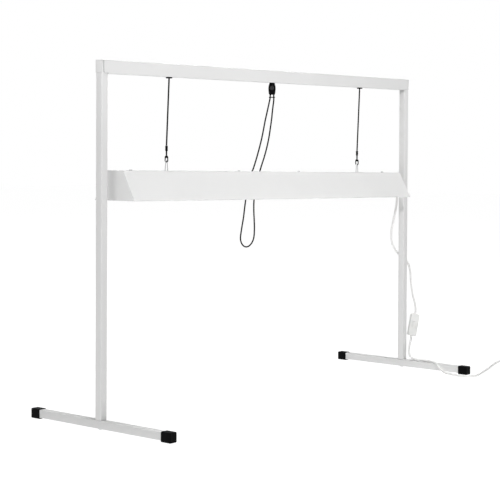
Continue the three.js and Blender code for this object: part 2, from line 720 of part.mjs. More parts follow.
function makeHanger(side, sign) {
  const [x, y, z] = hangerBase(sign);
  const wire = [];
  wire.push(new THREE.Vector3(x - hanger.footSpread, y, z - hanger.belowSheet));
  wire.push(new THREE.Vector3(x - hanger.footSpread, y, z + seatGap));
  const bends = 8;
  for (let i = 0; i <= bends; i++) {
    const angle = Math.PI - (Math.PI * i) / bends;
    wire.push(
      new THREE.Vector3(
        x + hanger.topRadius * Math.cos(angle), y, z + hanger.height + hanger.topRadius * Math.sin(angle),
      ),
    );
  }
  wire.push(new THREE.Vector3(x + hanger.footSpread, y, z + seatGap));
  wire.push(new THREE.Vector3(x + hanger.footSpread, y, z - hanger.belowSheet));
  place(`hanger_wire_${side}`, tubeThrough(wire, hanger.wireRadius, 8), steel);

  const outline = roundedRectangle(
    2 * ring.halfWidth, ring.top - ring.bottom, ring.halfWidth - seatGap,
  );
  const hole = roundedRectangle(
    2 * ring.holeHalfWidth, ring.holeTop - ring.holeBottom, ring.holeHalfWidth - seatGap,
    new THREE.Path(),
  );
  const shift = (ring.holeTop + ring.holeBottom - ring.top - ring.bottom) / 2;
  const moved = hole.getPoints(5).map((p) => new THREE.Vector2(p.x, p.y + shift));
  outline.holes.push(new THREE.Path(moved));
  const plate = alongX(outline, -ring.halfThickness, ring.halfThickness, 5);
  place(`hanger_ring_${side}`, plate.translate(x, y, z + (ring.top + ring.bottom) / 2), black);

  const ringTop = z + ring.top + seatGap;
  const cordEnd = rod([x, y, ringTop], [x, y, z + sleeve.top], cord.radius, cord.sides);
  place(`cord_end_${side}`, cordEnd, black);
  const hollow = cord.radius + sleeve.fit;
  const sleeveTop = sleeve.top - seatGap;
  const profile = [
    [hollow, sleeve.bottom], [sleeve.radius, sleeve.bottom], [sleeve.radius, sleeveTop],
    [hollow, sleeveTop],
  ];
  const crimp = turned(profile, 16).rotateX(Math.PI / 2);
  place(`cord_sleeve_${side}`, crimp.translate(x, y, z), black);

  const lower = new THREE.Vector3(x, y, z + sleeve.top + runningGap);
  const upper = new THREE.Vector3(x, 0, guideBottom - runningGap);
  place(`hanging_cord_${side}`, tubeThrough([lower, upper], cord.radius, cord.sides), black);
}

// Route of the mains lead from the hood to its switch, behind the right leg
const leadDropRoute = [
  [605, -4, 524.4], [605.2, -3.6, 515], [605.6, -2, 500], [605.4, 4, 472], [605.2, 10, 446],
  [606, 16.4, 417], [611, 19.5, 395], [620, 19.8, 375], [632, 18.2, 359], [648, 16.4, 346],
  [663, 14, 337.6], [675, 10.4, 328.6], [682.6, 6, 317], [686.2, 2, 302], [688, 0, 286],
  [690.5, 0, 266], [695, 0, 240], [702, 0, 217], [709.8, 0, 200.5], [715.4, 0, 188],
  [718.6, 0, 176.6], [718.9, 0, 166.6], [716.2, 0, 157.4],
];
// Route of the lead from the switch down over the right foot and along the floor
const leadTailRoute = [
  [696.3, 0, 90], [694.4, -0.1, 83.8], [691.2, -1, 77.8], [686.6, -2.7, 72.4],
  [680.8, -5, 68], [674.2, -7.8, 64], [667, -11.2, 59.4], [660, -15.2, 53.8],
  [654.2, -19.2, 47.4], [649.6, -23.2, 41.2], [645.8, -29.4, 34.2], [643.6, -37.6, 29.2],
  [642.9, -48, 27], [643.4, -66, 26.7], [644.4, -85, 26.7], [643.8, -101, 26.7],
  [641.4, -112, 26.8], [637.8, -120, 26.8], [634.2, -127, 26.1], [631, -133.6, 23.8],
  [627.8, -140.4, 19.9], [624.2, -148.4, 14.6], [619.2, -159, 9], [612, -173.6, 4.9],
  [604.5, -190, 3.45], [598, -208, 3.45], [593.6, -224, 3.45], [591.8, -239.6, 3.45],
  [594.6, -254.2, 3.45], [602.6, -266, 3.45], [615.4, -273, 3.45], [632.6, -273.8, 3.45],
  [650, -270, 3.45], [672, -263.2, 3.45], [703, -253.5, 3.45], [739, -242, 3.45],
  [779, -229, 3.45], [825, -212.6, 3.45], [872, -196.8, 3.45], [913, -186.4, 3.45],
  [961.6, -176.6, 3.45],
];

// How far out the tilted right end panel reaches at one height
function outsideOfPanel(y, height) {
  const at = toFixture([hoodLength / 2, y, height]);
  at.x = hoodLength / 2;
  return fixture.localToWorld(at).x;
}

function makeStrainRelief() {
  const y = reliefY;
  const height = reliefHeight;
  const panel = outsideOfPanel(y, height + relief.baseRadius) + runningGap;
  const face = panel + relief.baseThickness;
  const base = rod([panel, y, height], [face, y, height], relief.baseRadius, 20);
  const neck = rod([panel - relief.neckReach, y, height], [face, y, height], relief.neckRadius, 20);
  const axis = panel + relief.reach;
  const corner = [
    [panel + relief.baseThickness / 2, y, height], [axis, y, height],
    [axis, y, height - relief.drop + runningGap],
  ];
  const route = bentRoute(corner, relief.reach * relief.bendShare, 6);
  const elbow = taperedTube(route, relief.rootRadius, relief.tipRadius, 12);
  place("strain_relief", join(base, neck, elbow), white);
}

// A tube through listed points whose radius shrinks evenly from its root to its tip
function taperedTube(points, root, tip, sides) {
  const geometry = tubeThrough(points, 1, sides);
  const curve = new ListedCurve(points);
  const position = geometry.attributes.position;
  const vertex = new THREE.Vector3();
  const lengths = points.map((_, i) => i / (points.length - 1));
  for (let i = 0; i < position.count; i++) {
    vertex.fromBufferAttribute(position, i);
    const offAxis = (centre) => Math.abs(centre.distanceTo(vertex) - 1);
    const nearest = lengths
      .map((share) => ({ share, centre: curve.getPoint(share) }))
      .sort((a, b) => offAxis(a.centre) - offAxis(b.centre))[0];
    const radius = root + (tip - root) * nearest.share;
    vertex.sub(nearest.centre).multiplyScalar(radius).add(nearest.centre);
    position.setXYZ(i, vertex.x, vertex.y, vertex.z);
  }
  return geometry;
}

function makeLead() {
  const drop = smoothRoute(leadDropRoute, 32);
  const tail = smoothRoute(leadTailRoute, 52);
  place("lead_drop", tubeThrough(drop, lead.radius, lead.sides), white);
  place("lead_tail", tubeThrough(tail, lead.radius, lead.sides), white);
}

// Switch in the lead: two moulded halves and a rocker, tilted as the lead hangs
const switchTop = leadDropRoute[leadDropRoute.length - 1];
const switchFoot = leadTailRoute[0];
const switchGroup = new THREE.Group();
group.add(switchGroup);

function makeSwitch() {
  const above = new THREE.Vector3(...switchTop);
  const below = new THREE.Vector3(...switchFoot);
  const up = above.clone().sub(below);
  switchGroup.position.copy(above).add(below).divideScalar(2);
  switchGroup.rotation.set(
    0, Math.atan2(up.x, up.z), THREE.MathUtils.degToRad(switchBody.turn), "YZX",
  );
  const length = up.length() - 2 * runningGap;
  const half = switchBody.depth / 2;
  const outline = () => roundedRectangle(switchBody.width, length, switchBody.cornerRadius);
  const rear = extrude(outline(), half - seatGap / 2, 5, switchBody.edge);
  const entries = [-1, 1].map((sign) =>
    rod(
      [0, 0, sign * (length / 2 + overrun)], [0, 0, sign * (length / 2 - switchBody.entryDepth)],
      switchBody.entryRadius, 16,
    ),
  );
  const backShell = rear.rotateX(Math.PI / 2).rotateZ(Math.PI).translate(0, seatGap / 2, 0);
  place("switch_back", cut(backShell, ...entries), white, switchGroup);

  const windowWidth = rockerPiece.width / 2 + rockerPiece.fit;
  const windowLength = rockerPiece.length / 2 + rockerPiece.fit;
  const fore = extrude(outline(), half - seatGap / 2, 5, switchBody.edge).rotateX(Math.PI / 2);
  const window = block(
    [-windowWidth, -half - overrun, -windowLength],
    [windowWidth, overrun, windowLength],
  );
  place("switch_front", cut(fore.translate(0, -seatGap / 2, 0), window, ...entries), white, switchGroup);

  const pivot = -half + rockerPiece.sunk;
  const face = new THREE.Shape();
  const l = rockerPiece.length / 2 - rockerPiece.fit;
  const crown = rockerPiece.sunk + 2 * rockerPiece.fit;
  face.moveTo(-l, -rockerPiece.sunk);
  face.lineTo(l, -rockerPiece.sunk);
  face.lineTo(l, crown);
  face.quadraticCurveTo(0, crown - rockerPiece.dish, -l, crown);
  face.closePath();
  const wedge = extrude(face, rockerPiece.width, 6).translate(0, 0, -rockerPiece.width / 2);
  const along = new THREE.Vector3(0, 0, 1);
  const outward = new THREE.Vector3(0, -1, 0);
  const across = new THREE.Vector3(1, 0, 0);
  wedge.applyMatrix4(new THREE.Matrix4().makeBasis(along, outward, across));
  wedge.rotateX(THREE.MathUtils.degToRad(rockerPiece.throw / 2));
  place("switch_rocker", wedge.translate(0, pivot, 0), white, switchGroup);
}

// Spare lead: a round coil that spirals in, climbs and spirals out again, then its plug
const coilStart = new THREE.Vector3(...leadTailRoute[leadTailRoute.length - 1]);
const beforeStart = new THREE.Vector3(...leadTailRoute[leadTailRoute.length - 2]);
const coilHeading = coilStart.clone().sub(beforeStart).normalize();

function coilRoute() {
  const outer = coil.middleRadius + (coil.spacing * coil.turnsEachWay) / 2;
  const right = new THREE.Vector3(coilHeading.y, -coilHeading.x, 0);
  const first = coilStart.clone().addScaledVector(coilHeading, runningGap);
  const entry = first.clone().addScaledVector(coilHeading, 2 * lead.radius);
  const centre = entry.clone().addScaledVector(right, outer);
  const startAngle = Math.atan2(-right.y, -right.x);
  const points = [first, entry];
  const halfTurn = 0.5;
  const turns = 2 * coil.turnsEachWay + halfTurn;
  const count = Math.round(turns * coil.stepsEachTurn);
  for (let i = 1; i <= count; i++) {
    const done = (turns * i) / count;
    const inward = Math.min(done, coil.turnsEachWay);
    const outward = Math.max(0, done - coil.turnsEachWay - halfTurn);
    const climb = Math.min(Math.max((done - coil.turnsEachWay) / halfTurn, 0), 1);
    const dip = coil.dip * Math.sin(Math.PI * climb);
    const radius = outer - coil.spacing * (inward - outward) - dip;
    const angle = startAngle - 2 * Math.PI * done;
    const lift = climb * climb * (3 - 2 * climb) * coil.layerHeight;
    const across = new THREE.Vector3(Math.cos(angle), Math.sin(angle), 0);
    points.push(centre.clone().addScaledVector(across, radius).setZ(coilStart.z + lift));
  }
  const last = points[points.length - 1];
  const angle = startAngle - 2 * Math.PI * turns;
  const heading = new THREE.Vector3(Math.sin(angle), -Math.cos(angle), 0);
  points.push(last.clone().addScaledVector(heading, 2 * lead.radius));
  return { points, end: points[points.length - 1], heading };
}

// Least distance between the surfaces of stretches of the coil that aren't neighbours
function leastGap(points, radius, neighbours) {
  let least = Infinity;
  for (let i = 0; i < points.length - 1; i++)
    for (let j = i + neighbours; j < points.length - 1; j++)
      for (const a of [0, 0.5, 1])
        for (const b of [0, 0.5, 1]) {
          const p = points[i].clone().lerp(points[i + 1], a);
          const q = points[j].clone().lerp(points[j + 1], b);
          least = Math.min(least, p.distanceTo(q) - 2 * radius);
        }
  return least;
}

function makeCoilAndPlug() {
  const { points, end, heading } = coilRoute();
  const gap = leastGap(points, lead.radius, coil.stepsEachTurn / 2);
  console.log("least gap between turns of the coil:", gap.toFixed(2), "mm");
  place("lead_coil", tubeThrough(points, lead.radius, coil.sides), white);

  const endStart = end.clone().addScaledVector(heading, runningGap);
  const endFinish = endStart.clone().addScaledVector(heading, coil.leadOut);
  place("lead_end", tubeThrough([endStart, endFinish], lead.radius, lead.sides), white);

  const start = endFinish.clone().addScaledVector(heading, runningGap);
  const neck = rod([0, 0, 0], [plug.neckLength, 0, 0], plug.neckRadius, 16, plug.neckRootRadius);
  const outline = roundedRectangle(plug.length, plug.width, plug.cornerRadius);
  const body = extrude(outline, plug.height, 4, plug.edge);
  body.translate(plug.neckLength - plug.edge + plug.length / 2, 0, -plug.height / 2);
  const face = plug.neckLength - plug.edge + plug.length;
  const root = face - plug.edge;
  const blades = [-1, 1].map((sign) => {
    const middle = (sign * plug.bladeSpacing) / 2;
    return block(
      [root, middle - plug.bladeThickness / 2, plug.bladeOffset - plug.bladeWidth / 2],
      [face + plug.bladeLength, middle + plug.bladeThickness / 2, plug.bladeOffset + plug.bladeWidth / 2],
    );
  });
  const ground = rod(
    [root, 0, -plug.groundOffset], [face + plug.groundLength, 0, -plug.groundOffset],
    plug.groundRadius, 12,
  );
  const turn = Math.atan2(heading.y, heading.x);
  const whole = join(neck, body, ...blades, ground).rotateZ(turn).translate(start.x, start.y, start.z);
  place("plug", whole, white);
}

for (const [side, sign] of [["left", -1], ["right", 1]]) {
  makeFoot(side, sign * uprightX);
  makeUpright(side, sign * uprightX);
  makeBarBolt(side, sign * uprightX);
  makeGuide(side, sign * hangerX);
  makeBarCord(side, sign);
}
makeBar();
makeLock();
makeSpareCord();
makeHood();
makeHousing();
makeLamp();
makeHanger("left", -1);
makeHanger("right", 1);
makeStrainRelief();
makeLead();
makeSwitch();
makeCoilAndPlug();

export default group;
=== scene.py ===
import math

import bmesh
import bpy
from mathutils import Matrix, Vector


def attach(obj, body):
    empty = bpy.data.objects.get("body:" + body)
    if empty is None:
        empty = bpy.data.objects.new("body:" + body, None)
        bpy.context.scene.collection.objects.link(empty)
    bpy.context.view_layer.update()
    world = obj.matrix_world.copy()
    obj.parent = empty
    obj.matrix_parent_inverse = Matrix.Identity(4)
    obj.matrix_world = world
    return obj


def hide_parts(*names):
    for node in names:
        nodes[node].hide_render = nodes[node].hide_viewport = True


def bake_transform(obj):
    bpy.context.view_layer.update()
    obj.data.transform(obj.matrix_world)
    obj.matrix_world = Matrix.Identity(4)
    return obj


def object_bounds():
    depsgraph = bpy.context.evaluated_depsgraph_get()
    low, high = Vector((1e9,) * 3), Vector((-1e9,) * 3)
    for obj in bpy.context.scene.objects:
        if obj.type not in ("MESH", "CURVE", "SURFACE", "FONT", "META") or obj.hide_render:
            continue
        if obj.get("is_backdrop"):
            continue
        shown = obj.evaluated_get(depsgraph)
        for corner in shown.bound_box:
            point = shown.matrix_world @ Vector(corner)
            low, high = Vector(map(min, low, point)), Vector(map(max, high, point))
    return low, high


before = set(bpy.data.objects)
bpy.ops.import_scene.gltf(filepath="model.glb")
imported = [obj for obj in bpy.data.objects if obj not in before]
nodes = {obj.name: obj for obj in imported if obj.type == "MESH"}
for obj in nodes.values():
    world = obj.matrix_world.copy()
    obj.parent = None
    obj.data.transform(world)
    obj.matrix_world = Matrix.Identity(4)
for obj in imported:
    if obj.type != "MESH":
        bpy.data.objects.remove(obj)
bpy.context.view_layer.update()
scene = bpy.context.scene

# Lengths in this file are millimetres until a mesh is made, which is in metres
unit = 0.001

print("stage: camera")
cameraFit = {
    "focal": 1430.47, "centreX": 250.0, "centreY": 170.0, "image": 500.0, "sensor": 36.0,
    "yaw": 50.156, "pitch": -1.1103, "roll": 0.2748, "position": (-3.0404, -2.4602, 0.68999),
    "farClip": 60.0,
}


def makeCamera(fit):
    yaw, pitch, roll = (math.radians(fit[k]) for k in ("yaw", "pitch", "roll"))
    forward = Vector((math.sin(yaw) * math.cos(pitch), math.cos(yaw) * math.cos(pitch), math.sin(pitch)))
    level = Vector((math.cos(yaw), -math.sin(yaw), 0))
    above = level.cross(forward)
    right = level * math.cos(roll) + above * math.sin(roll)
    up = above * math.cos(roll) - level * math.sin(roll)
    data = bpy.data.cameras.new("photoCamera")
    data.sensor_width = fit["sensor"]
    data.lens = fit["focal"] / fit["image"] * fit["sensor"]
    data.shift_x = (fit["image"] / 2 - fit["centreX"]) / fit["image"]
    data.shift_y = (fit["centreY"] - fit["image"] / 2) / fit["image"]
    data.clip_end = fit["farClip"]
    camera = bpy.data.objects.new("photoCamera", data)
    camera.matrix_world = Matrix.Translation(fit["position"]) @ Matrix(
        (
            (right.x, up.x, -forward.x),
            (right.y, up.y, -forward.y),
            (right.z, up.z, -forward.z),
        )
    ).to_4x4()
    scene.collection.objects.link(camera)
    scene.camera = camera


makeCamera(cameraFit)


def newGroup(name, inputs, outputs):
    group = bpy.data.node_groups.new(name, "ShaderNodeTree")
    for label, kind, value in inputs:
        socket = group.interface.new_socket(label, in_out="INPUT", socket_type=kind)
        if value is not None:
            socket.default_value = value
    for label, kind in outputs:
        group.interface.new_socket(label, in_out="OUTPUT", socket_type=kind)
    entry = group.nodes.new("NodeGroupInput")
    result = group.nodes.new("NodeGroupOutput")
    return group, entry, result


# Gives a socket a fixed value, or links it to the socket that makes the value
def feed(tree, socket, given):
    if isinstance(given, (int, float, tuple)):
        socket.default_value = given
    else:
        tree.links.new(given, socket)


def addMath(tree, operation, a, b=None, c=None):
    node = tree.nodes.new("ShaderNodeMath")
    node.operation = operation
    for socket, given in zip(node.inputs, (a, b, c)):
        if given is not None:
            feed(tree, socket, given)
    return node.outputs[0]


def addMix(tree, share, a, b):
    node = tree.nodes.new("ShaderNodeMix")
    node.data_type = "RGBA"
    for key, given in (("Factor", share), (6, a), (7, b)):
        feed(tree, node.inputs[key], given)
    return node.outputs[2]


def addNoise(tree, vector, scale, detail=2.0, rough=0.5):
    node = tree.nodes.new("ShaderNodeTexNoise")
    for key, given in (("Vector", vector), ("Scale", scale), ("Detail", detail), ("Roughness", rough)):
        feed(tree, node.inputs[key], given)
    return node.outputs["Fac"]


def addRange(tree, value, low, high, toLow, toHigh):
    node = tree.nodes.new("ShaderNodeMapRange")
    for socket, given in zip(node.inputs, (value, low, high, toLow, toHigh)):
        feed(tree, socket, given)
    return node.outputs[0]


def addBump(tree, height, strength, distance):
    node = tree.nodes.new("ShaderNodeBump")
    for key, given in (("Height", height), ("Strength", strength), ("Distance", distance)):
        feed(tree, node.inputs[key], given)
    return node.outputs["Normal"]


def linkAll(tree, made, target):
    for key, socket in made.items():
        tree.links.new(socket, target.inputs[key])


grain = {
    "broadDetail": 4.0, "broadRough": 0.55, "fineDetail": 2.0, "fineRough": 0.5, "patchLow": 0.35,
    "patchHigh": 0.65, "speckLow": 0.3, "speckHigh": 0.7, "speckShare": 0.35,
}


# Broad patches and fine specks mix two near colours and two roughnesses; the specks also stand up a little
def makeGrainGroup():
    group, entry, result = newGroup(
        "fineGrain",
        [
            ("Base", "NodeSocketColor", None), ("Shade", "NodeSocketColor", None),
            ("Fine Scale", "NodeSocketFloat", 900.0), ("Broad Scale", "NodeSocketFloat", 9.0),
            ("Rough Low", "NodeSocketFloat", 0.3), ("Rough High", "NodeSocketFloat", 0.5),
            ("Relief", "NodeSocketFloat", 0.00002), ("Strength", "NodeSocketFloat", 0.4),
        ],
        [("Colour", "NodeSocketColor"), ("Roughness", "NodeSocketFloat"), ("Normal", "NodeSocketVector")],
    )
    given = entry.outputs
    place = group.nodes.new("ShaderNodeTexCoord").outputs["Object"]
    broad = addNoise(group, place, given["Broad Scale"], grain["broadDetail"], grain["broadRough"])
    fine = addNoise(group, place, given["Fine Scale"], grain["fineDetail"], grain["fineRough"])
    patch = addRange(group, broad, grain["patchLow"], grain["patchHigh"], 0.0, 1.0)
    speck = addRange(group, fine, grain["speckLow"], grain["speckHigh"], 0.0, 1.0)
    rest = addMath(group, "MULTIPLY", patch, 1 - grain["speckShare"])
    share = addMath(group, "MULTIPLY_ADD", speck, grain["speckShare"], rest)
    made = {
        "Colour": addMix(group, share, given["Base"], given["Shade"]),
        "Roughness": addRange(group, share, 0.0, 1.0, given["Rough Low"], given["Rough High"]),
        "Normal": addBump(group, fine, given["Strength"], given["Relief"]),
    }
    linkAll(group, made, result)
    return group


def newMaterial(name, metallic=0.0, **settings):
    material = bpy.data.materials.new(name)
    material.use_nodes = True
    shader = material.node_tree.nodes["Principled BSDF"]
    shader.inputs["Metallic"].default_value = metallic
    for key, value in settings.items():
        shader.inputs[key.replace("_", " ")].default_value = value
    return material, material.node_tree, shader


grainGroup = makeGrainGroup()


def grainMaterial(name, base, shade, fine, broad, rough, relief, strength, metallic=0.0, **settings):
    material, tree, shader = newMaterial(name, metallic, **settings)
    node = tree.nodes.new("ShaderNodeGroup")
    node.node_tree = grainGroup
    values = {
        "Base": (*base, 1), "Shade": (*shade, 1), "Fine Scale": fine, "Broad Scale": broad,
        "Rough Low": rough[0], "Rough High": rough[1], "Relief": relief, "Strength": strength,
    }
    for key, value in values.items():
        node.inputs[key].default_value = value
    made = {"Base Color": "Colour", "Roughness": "Roughness", "Normal": "Normal"}
    linkAll(tree, {key: node.outputs[label] for key, label in made.items()}, shader)
    return material


print("stage: materials")
# Each gives its name, base and shade colours, fine and broad scales, roughness from and to, relief in
# metres, strength and metallic
materials = {
    "tube": grainMaterial(
        "powderCoatTube", (0.75, 0.75, 0.747), (0.715, 0.715, 0.712), 1500, 7, (0.36, 0.5), 3e-5, 0.5,
        Specular_IOR_Level=0.22,
    ),
    "sheet": grainMaterial(
        "powderCoatSheet", (0.79, 0.79, 0.787), (0.765, 0.765, 0.762), 1100, 5, (0.3, 0.42), 2.5e-5, 0.45,
        Specular_IOR_Level=0.25,
    ),
    # Painted shade for the end faces of the bar's flanges, a dark stand-in for their shadow line
    "paintedShadeEdge": grainMaterial(
        "sheetEndPaintedShade", (0.16, 0.16, 0.16), (0.24, 0.24, 0.24), 1700, 60, (0.5, 0.65), 2e-5, 0.5,
        Specular_IOR_Level=0.2,
    ),
    "reflector": grainMaterial(
        "reflectorEnamel", (0.86, 0.86, 0.855), (0.83, 0.83, 0.825), 700, 6, (0.2, 0.3), 1.2e-5, 0.3,
        Coat_Weight=0.4, Coat_Roughness=0.12,
    ),
    "black": grainMaterial(
        "mouldedBlack", (0.0025, 0.0025, 0.0027), (0.0055, 0.0055, 0.006), 2600, 26, (0.44, 0.56), 4e-5, 0.6,
        Specular_IOR_Level=0.03,
    ),
    "lockCentre": grainMaterial(
        "pressedButton", (0.016, 0.016, 0.017), (0.024, 0.024, 0.025), 2200, 60, (0.4, 0.52), 3e-5, 0.5,
        Specular_IOR_Level=0.2,
    ),
    "steel": grainMaterial(
        "zincSteel", (0.6, 0.6, 0.61), (0.5, 0.5, 0.5), 1900, 90, (0.22, 0.4), 1.5e-5, 0.4, 1.0
    ),
    "brass": grainMaterial(
        "platedBlade", (0.72, 0.7, 0.66), (0.62, 0.6, 0.56), 1800, 120, (0.16, 0.3), 1e-5, 0.3, 1.0
    ),
    "aluminium": grainMaterial(
        "lampCapMetal", (0.78, 0.79, 0.8), (0.68, 0.69, 0.7), 2400, 140, (0.26, 0.4), 1e-5, 0.35, 1.0
    ),
    "glass": grainMaterial(
        "phosphorGlass", (0.88, 0.89, 0.88), (0.83, 0.84, 0.83), 1400, 14, (0.14, 0.22), 4e-6, 0.2,
        Coat_Weight=1.0, Coat_Roughness=0.03,
    ),
    "ballast": grainMaterial(
        "ballastCase", (0.66, 0.67, 0.68), (0.58, 0.59, 0.6), 900, 22, (0.3, 0.46), 2e-5, 0.4, 0.7
    ),
    "plastic": grainMaterial(
        "mouldedWhite", (0.83, 0.83, 0.82), (0.8, 0.8, 0.785), 2600, 20, (0.32, 0.44), 2.5e-5, 0.4
    ),
    "cable": grainMaterial(
        "cableSheath", (0.84, 0.84, 0.83), (0.8, 0.8, 0.79), 1600, 16, (0.4, 0.52), 2e-5, 0.4
    ),
    "tie": grainMaterial(
        "tieFabric", (0.6, 0.6, 0.595), (0.42, 0.42, 0.415), 3200, 200, (0.7, 0.85), 1.6e-4, 0.9
    ),
}


braid = {
    "pitch": 0.0034, "strands": 6, "threadScale": 1400.0, "threadDetail": 2.0, "threadRough": 0.6,
    "threadShare": 0.25, "threadLow": 0.2, "threadHigh": 0.8, "heightLow": 0.2, "heightHigh": 1.1,
    "dark": (0.002, 0.002, 0.0022, 1), "light": (0.012, 0.012, 0.0125, 1), "roughLow": 0.58,
    "roughHigh": 0.78, "specular": 0.12, "bump": 0.8, "relief": 0.0003,
}


# Two sets of strands wind opposite ways, and each lies on top for half of every pitch
def makeBraidMaterial():
    material, tree, shader = newMaterial("braidedCord", Specular_IOR_Level=braid["specular"])
    place = tree.nodes.new("ShaderNodeUVMap")
    place.uv_map = "alongCord"
    split = tree.nodes.new("ShaderNodeSeparateXYZ")
    tree.links.new(place.outputs["UV"], split.inputs[0])
    along = addMath(tree, "MULTIPLY", split.outputs["X"], 2 * math.pi / braid["pitch"])
    around = addMath(tree, "MULTIPLY", split.outputs["Y"], 2 * math.pi * braid["strands"])
    onTop = addMath(tree, "GREATER_THAN", addMath(tree, "SINE", along), 0.0)
    first, second = (
        addMath(tree, "ABSOLUTE", addMath(tree, "SINE", addMath(tree, way, along, around)))
        for way in ("ADD", "SUBTRACT")
    )
    mixed = tree.nodes.new("ShaderNodeMix")
    mixed.data_type = "FLOAT"
    for key, given in ((0, onTop), (2, first), (3, second)):
        feed(tree, mixed.inputs[key], given)
    thread = addNoise(
        tree, place.outputs["UV"], braid["threadScale"], braid["threadDetail"], braid["threadRough"]
    )
    height = addMath(tree, "MULTIPLY_ADD", thread, braid["threadShare"], mixed.outputs[0])
    share = addRange(tree, height, braid["heightLow"], braid["heightHigh"], 0.0, 1.0)
    # Painted shade: the colour is darker where the braid is low, in the crevices between the strands
    made = {
        "Base Color": addMix(tree, share, braid["dark"], braid["light"]),
        "Roughness": addRange(
            tree, thread, braid["threadLow"], braid["threadHigh"], braid["roughLow"], braid["roughHigh"]
        ),
        "Normal": addBump(tree, height, braid["bump"], braid["relief"]),
    }
    linkAll(tree, made, shader)
    return material


materials["braid"] = makeBraidMaterial()


class Shell:
    def __init__(self, matrix=None):
        self.points = []
        self.faces = []
        self.matrix = matrix

    def loop(self, points):
        first = len(self.points)
        for p in points:
            v = Vector(p)
            self.points.append(self.matrix @ v if self.matrix else v)
        return list(range(first, len(self.points)))

    def bridge(self, a, b):
        for i in range(len(a)):
            j = (i + 1) % len(a)
            self.faces.append((a[i], a[j], b[j], b[i]))

    def chain(self, loops, closed=False):
        for a, b in zip(loops, loops[1:]):
            self.bridge(a, b)
        if closed:
            self.bridge(loops[-1], loops[0])
        return self

    def fill(self, a):
        self.faces.append(tuple(a))

    # Joins loops in turn and fills the first and the last
    def skin(self, loops):
        self.chain(loops)
        self.fill(loops[0])
        self.fill(loops[-1])
        return self

    def add(self, other):
        shift = len(self.points)
        self.points += other.points
        self.faces += [tuple(i + shift for i in face) for face in other.faces]

    def mesh(self, name):
        mesh = bpy.data.meshes.new(name)
        mesh.from_pydata([v * unit for v in self.points], [], self.faces)
        mesh.update()
        return mesh

    def piece(self, name, material, body, slot, replaces=(), sharp=32, uvs=None):
        mesh = self.mesh(name)
        if uvs:
            layer = mesh.uv_layers.new(name="alongCord")
            for i, uv in enumerate(uvs):
                layer.data[i].uv = uv
        return finishPiece(name, mesh, material, body, replaces, sharp)


def turnFacesOut(mesh):
    work = bmesh.new()
    work.from_mesh(mesh)
    bmesh.ops.recalc_face_normals(work, faces=work.faces)
    work.to_mesh(mesh)
    work.free()


def shadeSmooth(mesh, sharp):
    for polygon in mesh.polygons:
        polygon.use_smooth = True
    mesh.set_sharp_from_angle(angle=math.radians(sharp))


def finishPiece(name, mesh, material, body, replaces=(), sharp=32):
    turnFacesOut(mesh)
    shadeSmooth(mesh, sharp)
    mesh.materials.clear()
    mesh.materials.append(materials[material])
    piece = bpy.data.objects.new(name, mesh)
    scene.collection.objects.link(piece)
    if body:
        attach(piece, body)
    if replaces:
        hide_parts(*replaces)
    return piece


def roundedLoop(width, height, radius, steps=5):
    points = []
    for cx, cy, start in ((1, -1, -90), (1, 1, 0), (-1, 1, 90), (-1, -1, 180)):
        for i in range(steps + 1):
            angle = math.radians(start + 90 * i / steps)
            points.append(
                (
                    cx * (width / 2 - radius) + radius * math.cos(angle),
                    cy * (height / 2 - radius) + radius * math.sin(angle),
                )
            )
    return points


def circleLoop(radius, count=32):
    return [
        (radius * math.cos(2 * math.pi * i / count), radius * math.sin(2 * math.pi * i / count))
        for i in range(count)
    ]


# Puts section points (a, b) at a distance along an axis, from the middle of the section
def onAxis(axis, middle, distance, points):
    x, y, z = middle
    if axis == "X":
        return [(x + distance, y + a, z + b) for a, b in points]
    if axis == "Y":
        return [(x - a, y + distance, z + b) for a, b in points]
    return [(x + a, y + b, z + distance) for a, b in points]


def turnedShell(profile, axis, middle, count=40, matrix=None, closed=False, shape=(1, 1)):
    shell = Shell(matrix)
    loops = []
    for radius, distance in profile:
        section = [(a * shape[0], b * shape[1]) for a, b in circleLoop(radius, count)]
        loops.append(shell.loop(onAxis(axis, middle, distance, section)))
    return shell.chain(loops, True) if closed else shell.skin(loops)


# Rows give the place along the axis, the width, the height and the corner radius of each section
def loftShell(axis, middle, rows, steps, matrix=None):
    shell = Shell(matrix)
    return shell.skin(
        [shell.loop(onAxis(axis, middle, d, roundedLoop(wide, tall, r, steps))) for d, wide, tall, r in rows]
    )


def boxShell(low, high, matrix=None):
    shell = Shell(matrix)
    (x0, y0, z0), (x1, y1, z1) = low, high
    return shell.skin([shell.loop([(x0, y0, z), (x1, y0, z), (x1, y1, z), (x0, y1, z)]) for z in (z0, z1)])


def carve(piece, cutters, sharp=32):
    for cutter in cutters:
        mesh = cutter.mesh("cutter")
        turnFacesOut(mesh)
        tool = bpy.data.objects.new("cutter", mesh)
        scene.collection.objects.link(tool)
        modifier = piece.modifiers.new("carve", "BOOLEAN")
        modifier.operation = "DIFFERENCE"
        modifier.solver = "EXACT"
        modifier.object = tool
        graph = bpy.context.evaluated_depsgraph_get()
        cutMesh = bpy.data.meshes.new_from_object(piece.evaluated_get(graph))
        piece.modifiers.remove(modifier)
        old = piece.data
        piece.data = cutMesh
        bpy.data.meshes.remove(old)
        bpy.data.objects.remove(tool)
        bpy.data.meshes.remove(mesh)
    shadeSmooth(piece.data, sharp)


refine = {"weld": 0.002, "flatAngle": 1.5, "foldAngle": 28, "sharp": 40}


# A copy of a CAD node's mesh, welded, with each flat face whole
def weldedNode(node, name, flatAngle):
    mesh = nodes[node].data.copy()
    mesh.name = name
    work = bmesh.new()
    work.from_mesh(mesh)
    bmesh.ops.remove_doubles(work, verts=work.verts, dist=refine["weld"] * unit)
    bmesh.ops.dissolve_limit(
        work, angle_limit=math.radians(flatAngle), verts=work.verts, edges=work.edges, delimit=set()
    )
    return mesh, work


def foldedEdges(work, angle):
    return [e for e in work.edges if len(e.link_faces) == 2 and e.calc_face_angle(0) > math.radians(angle)]


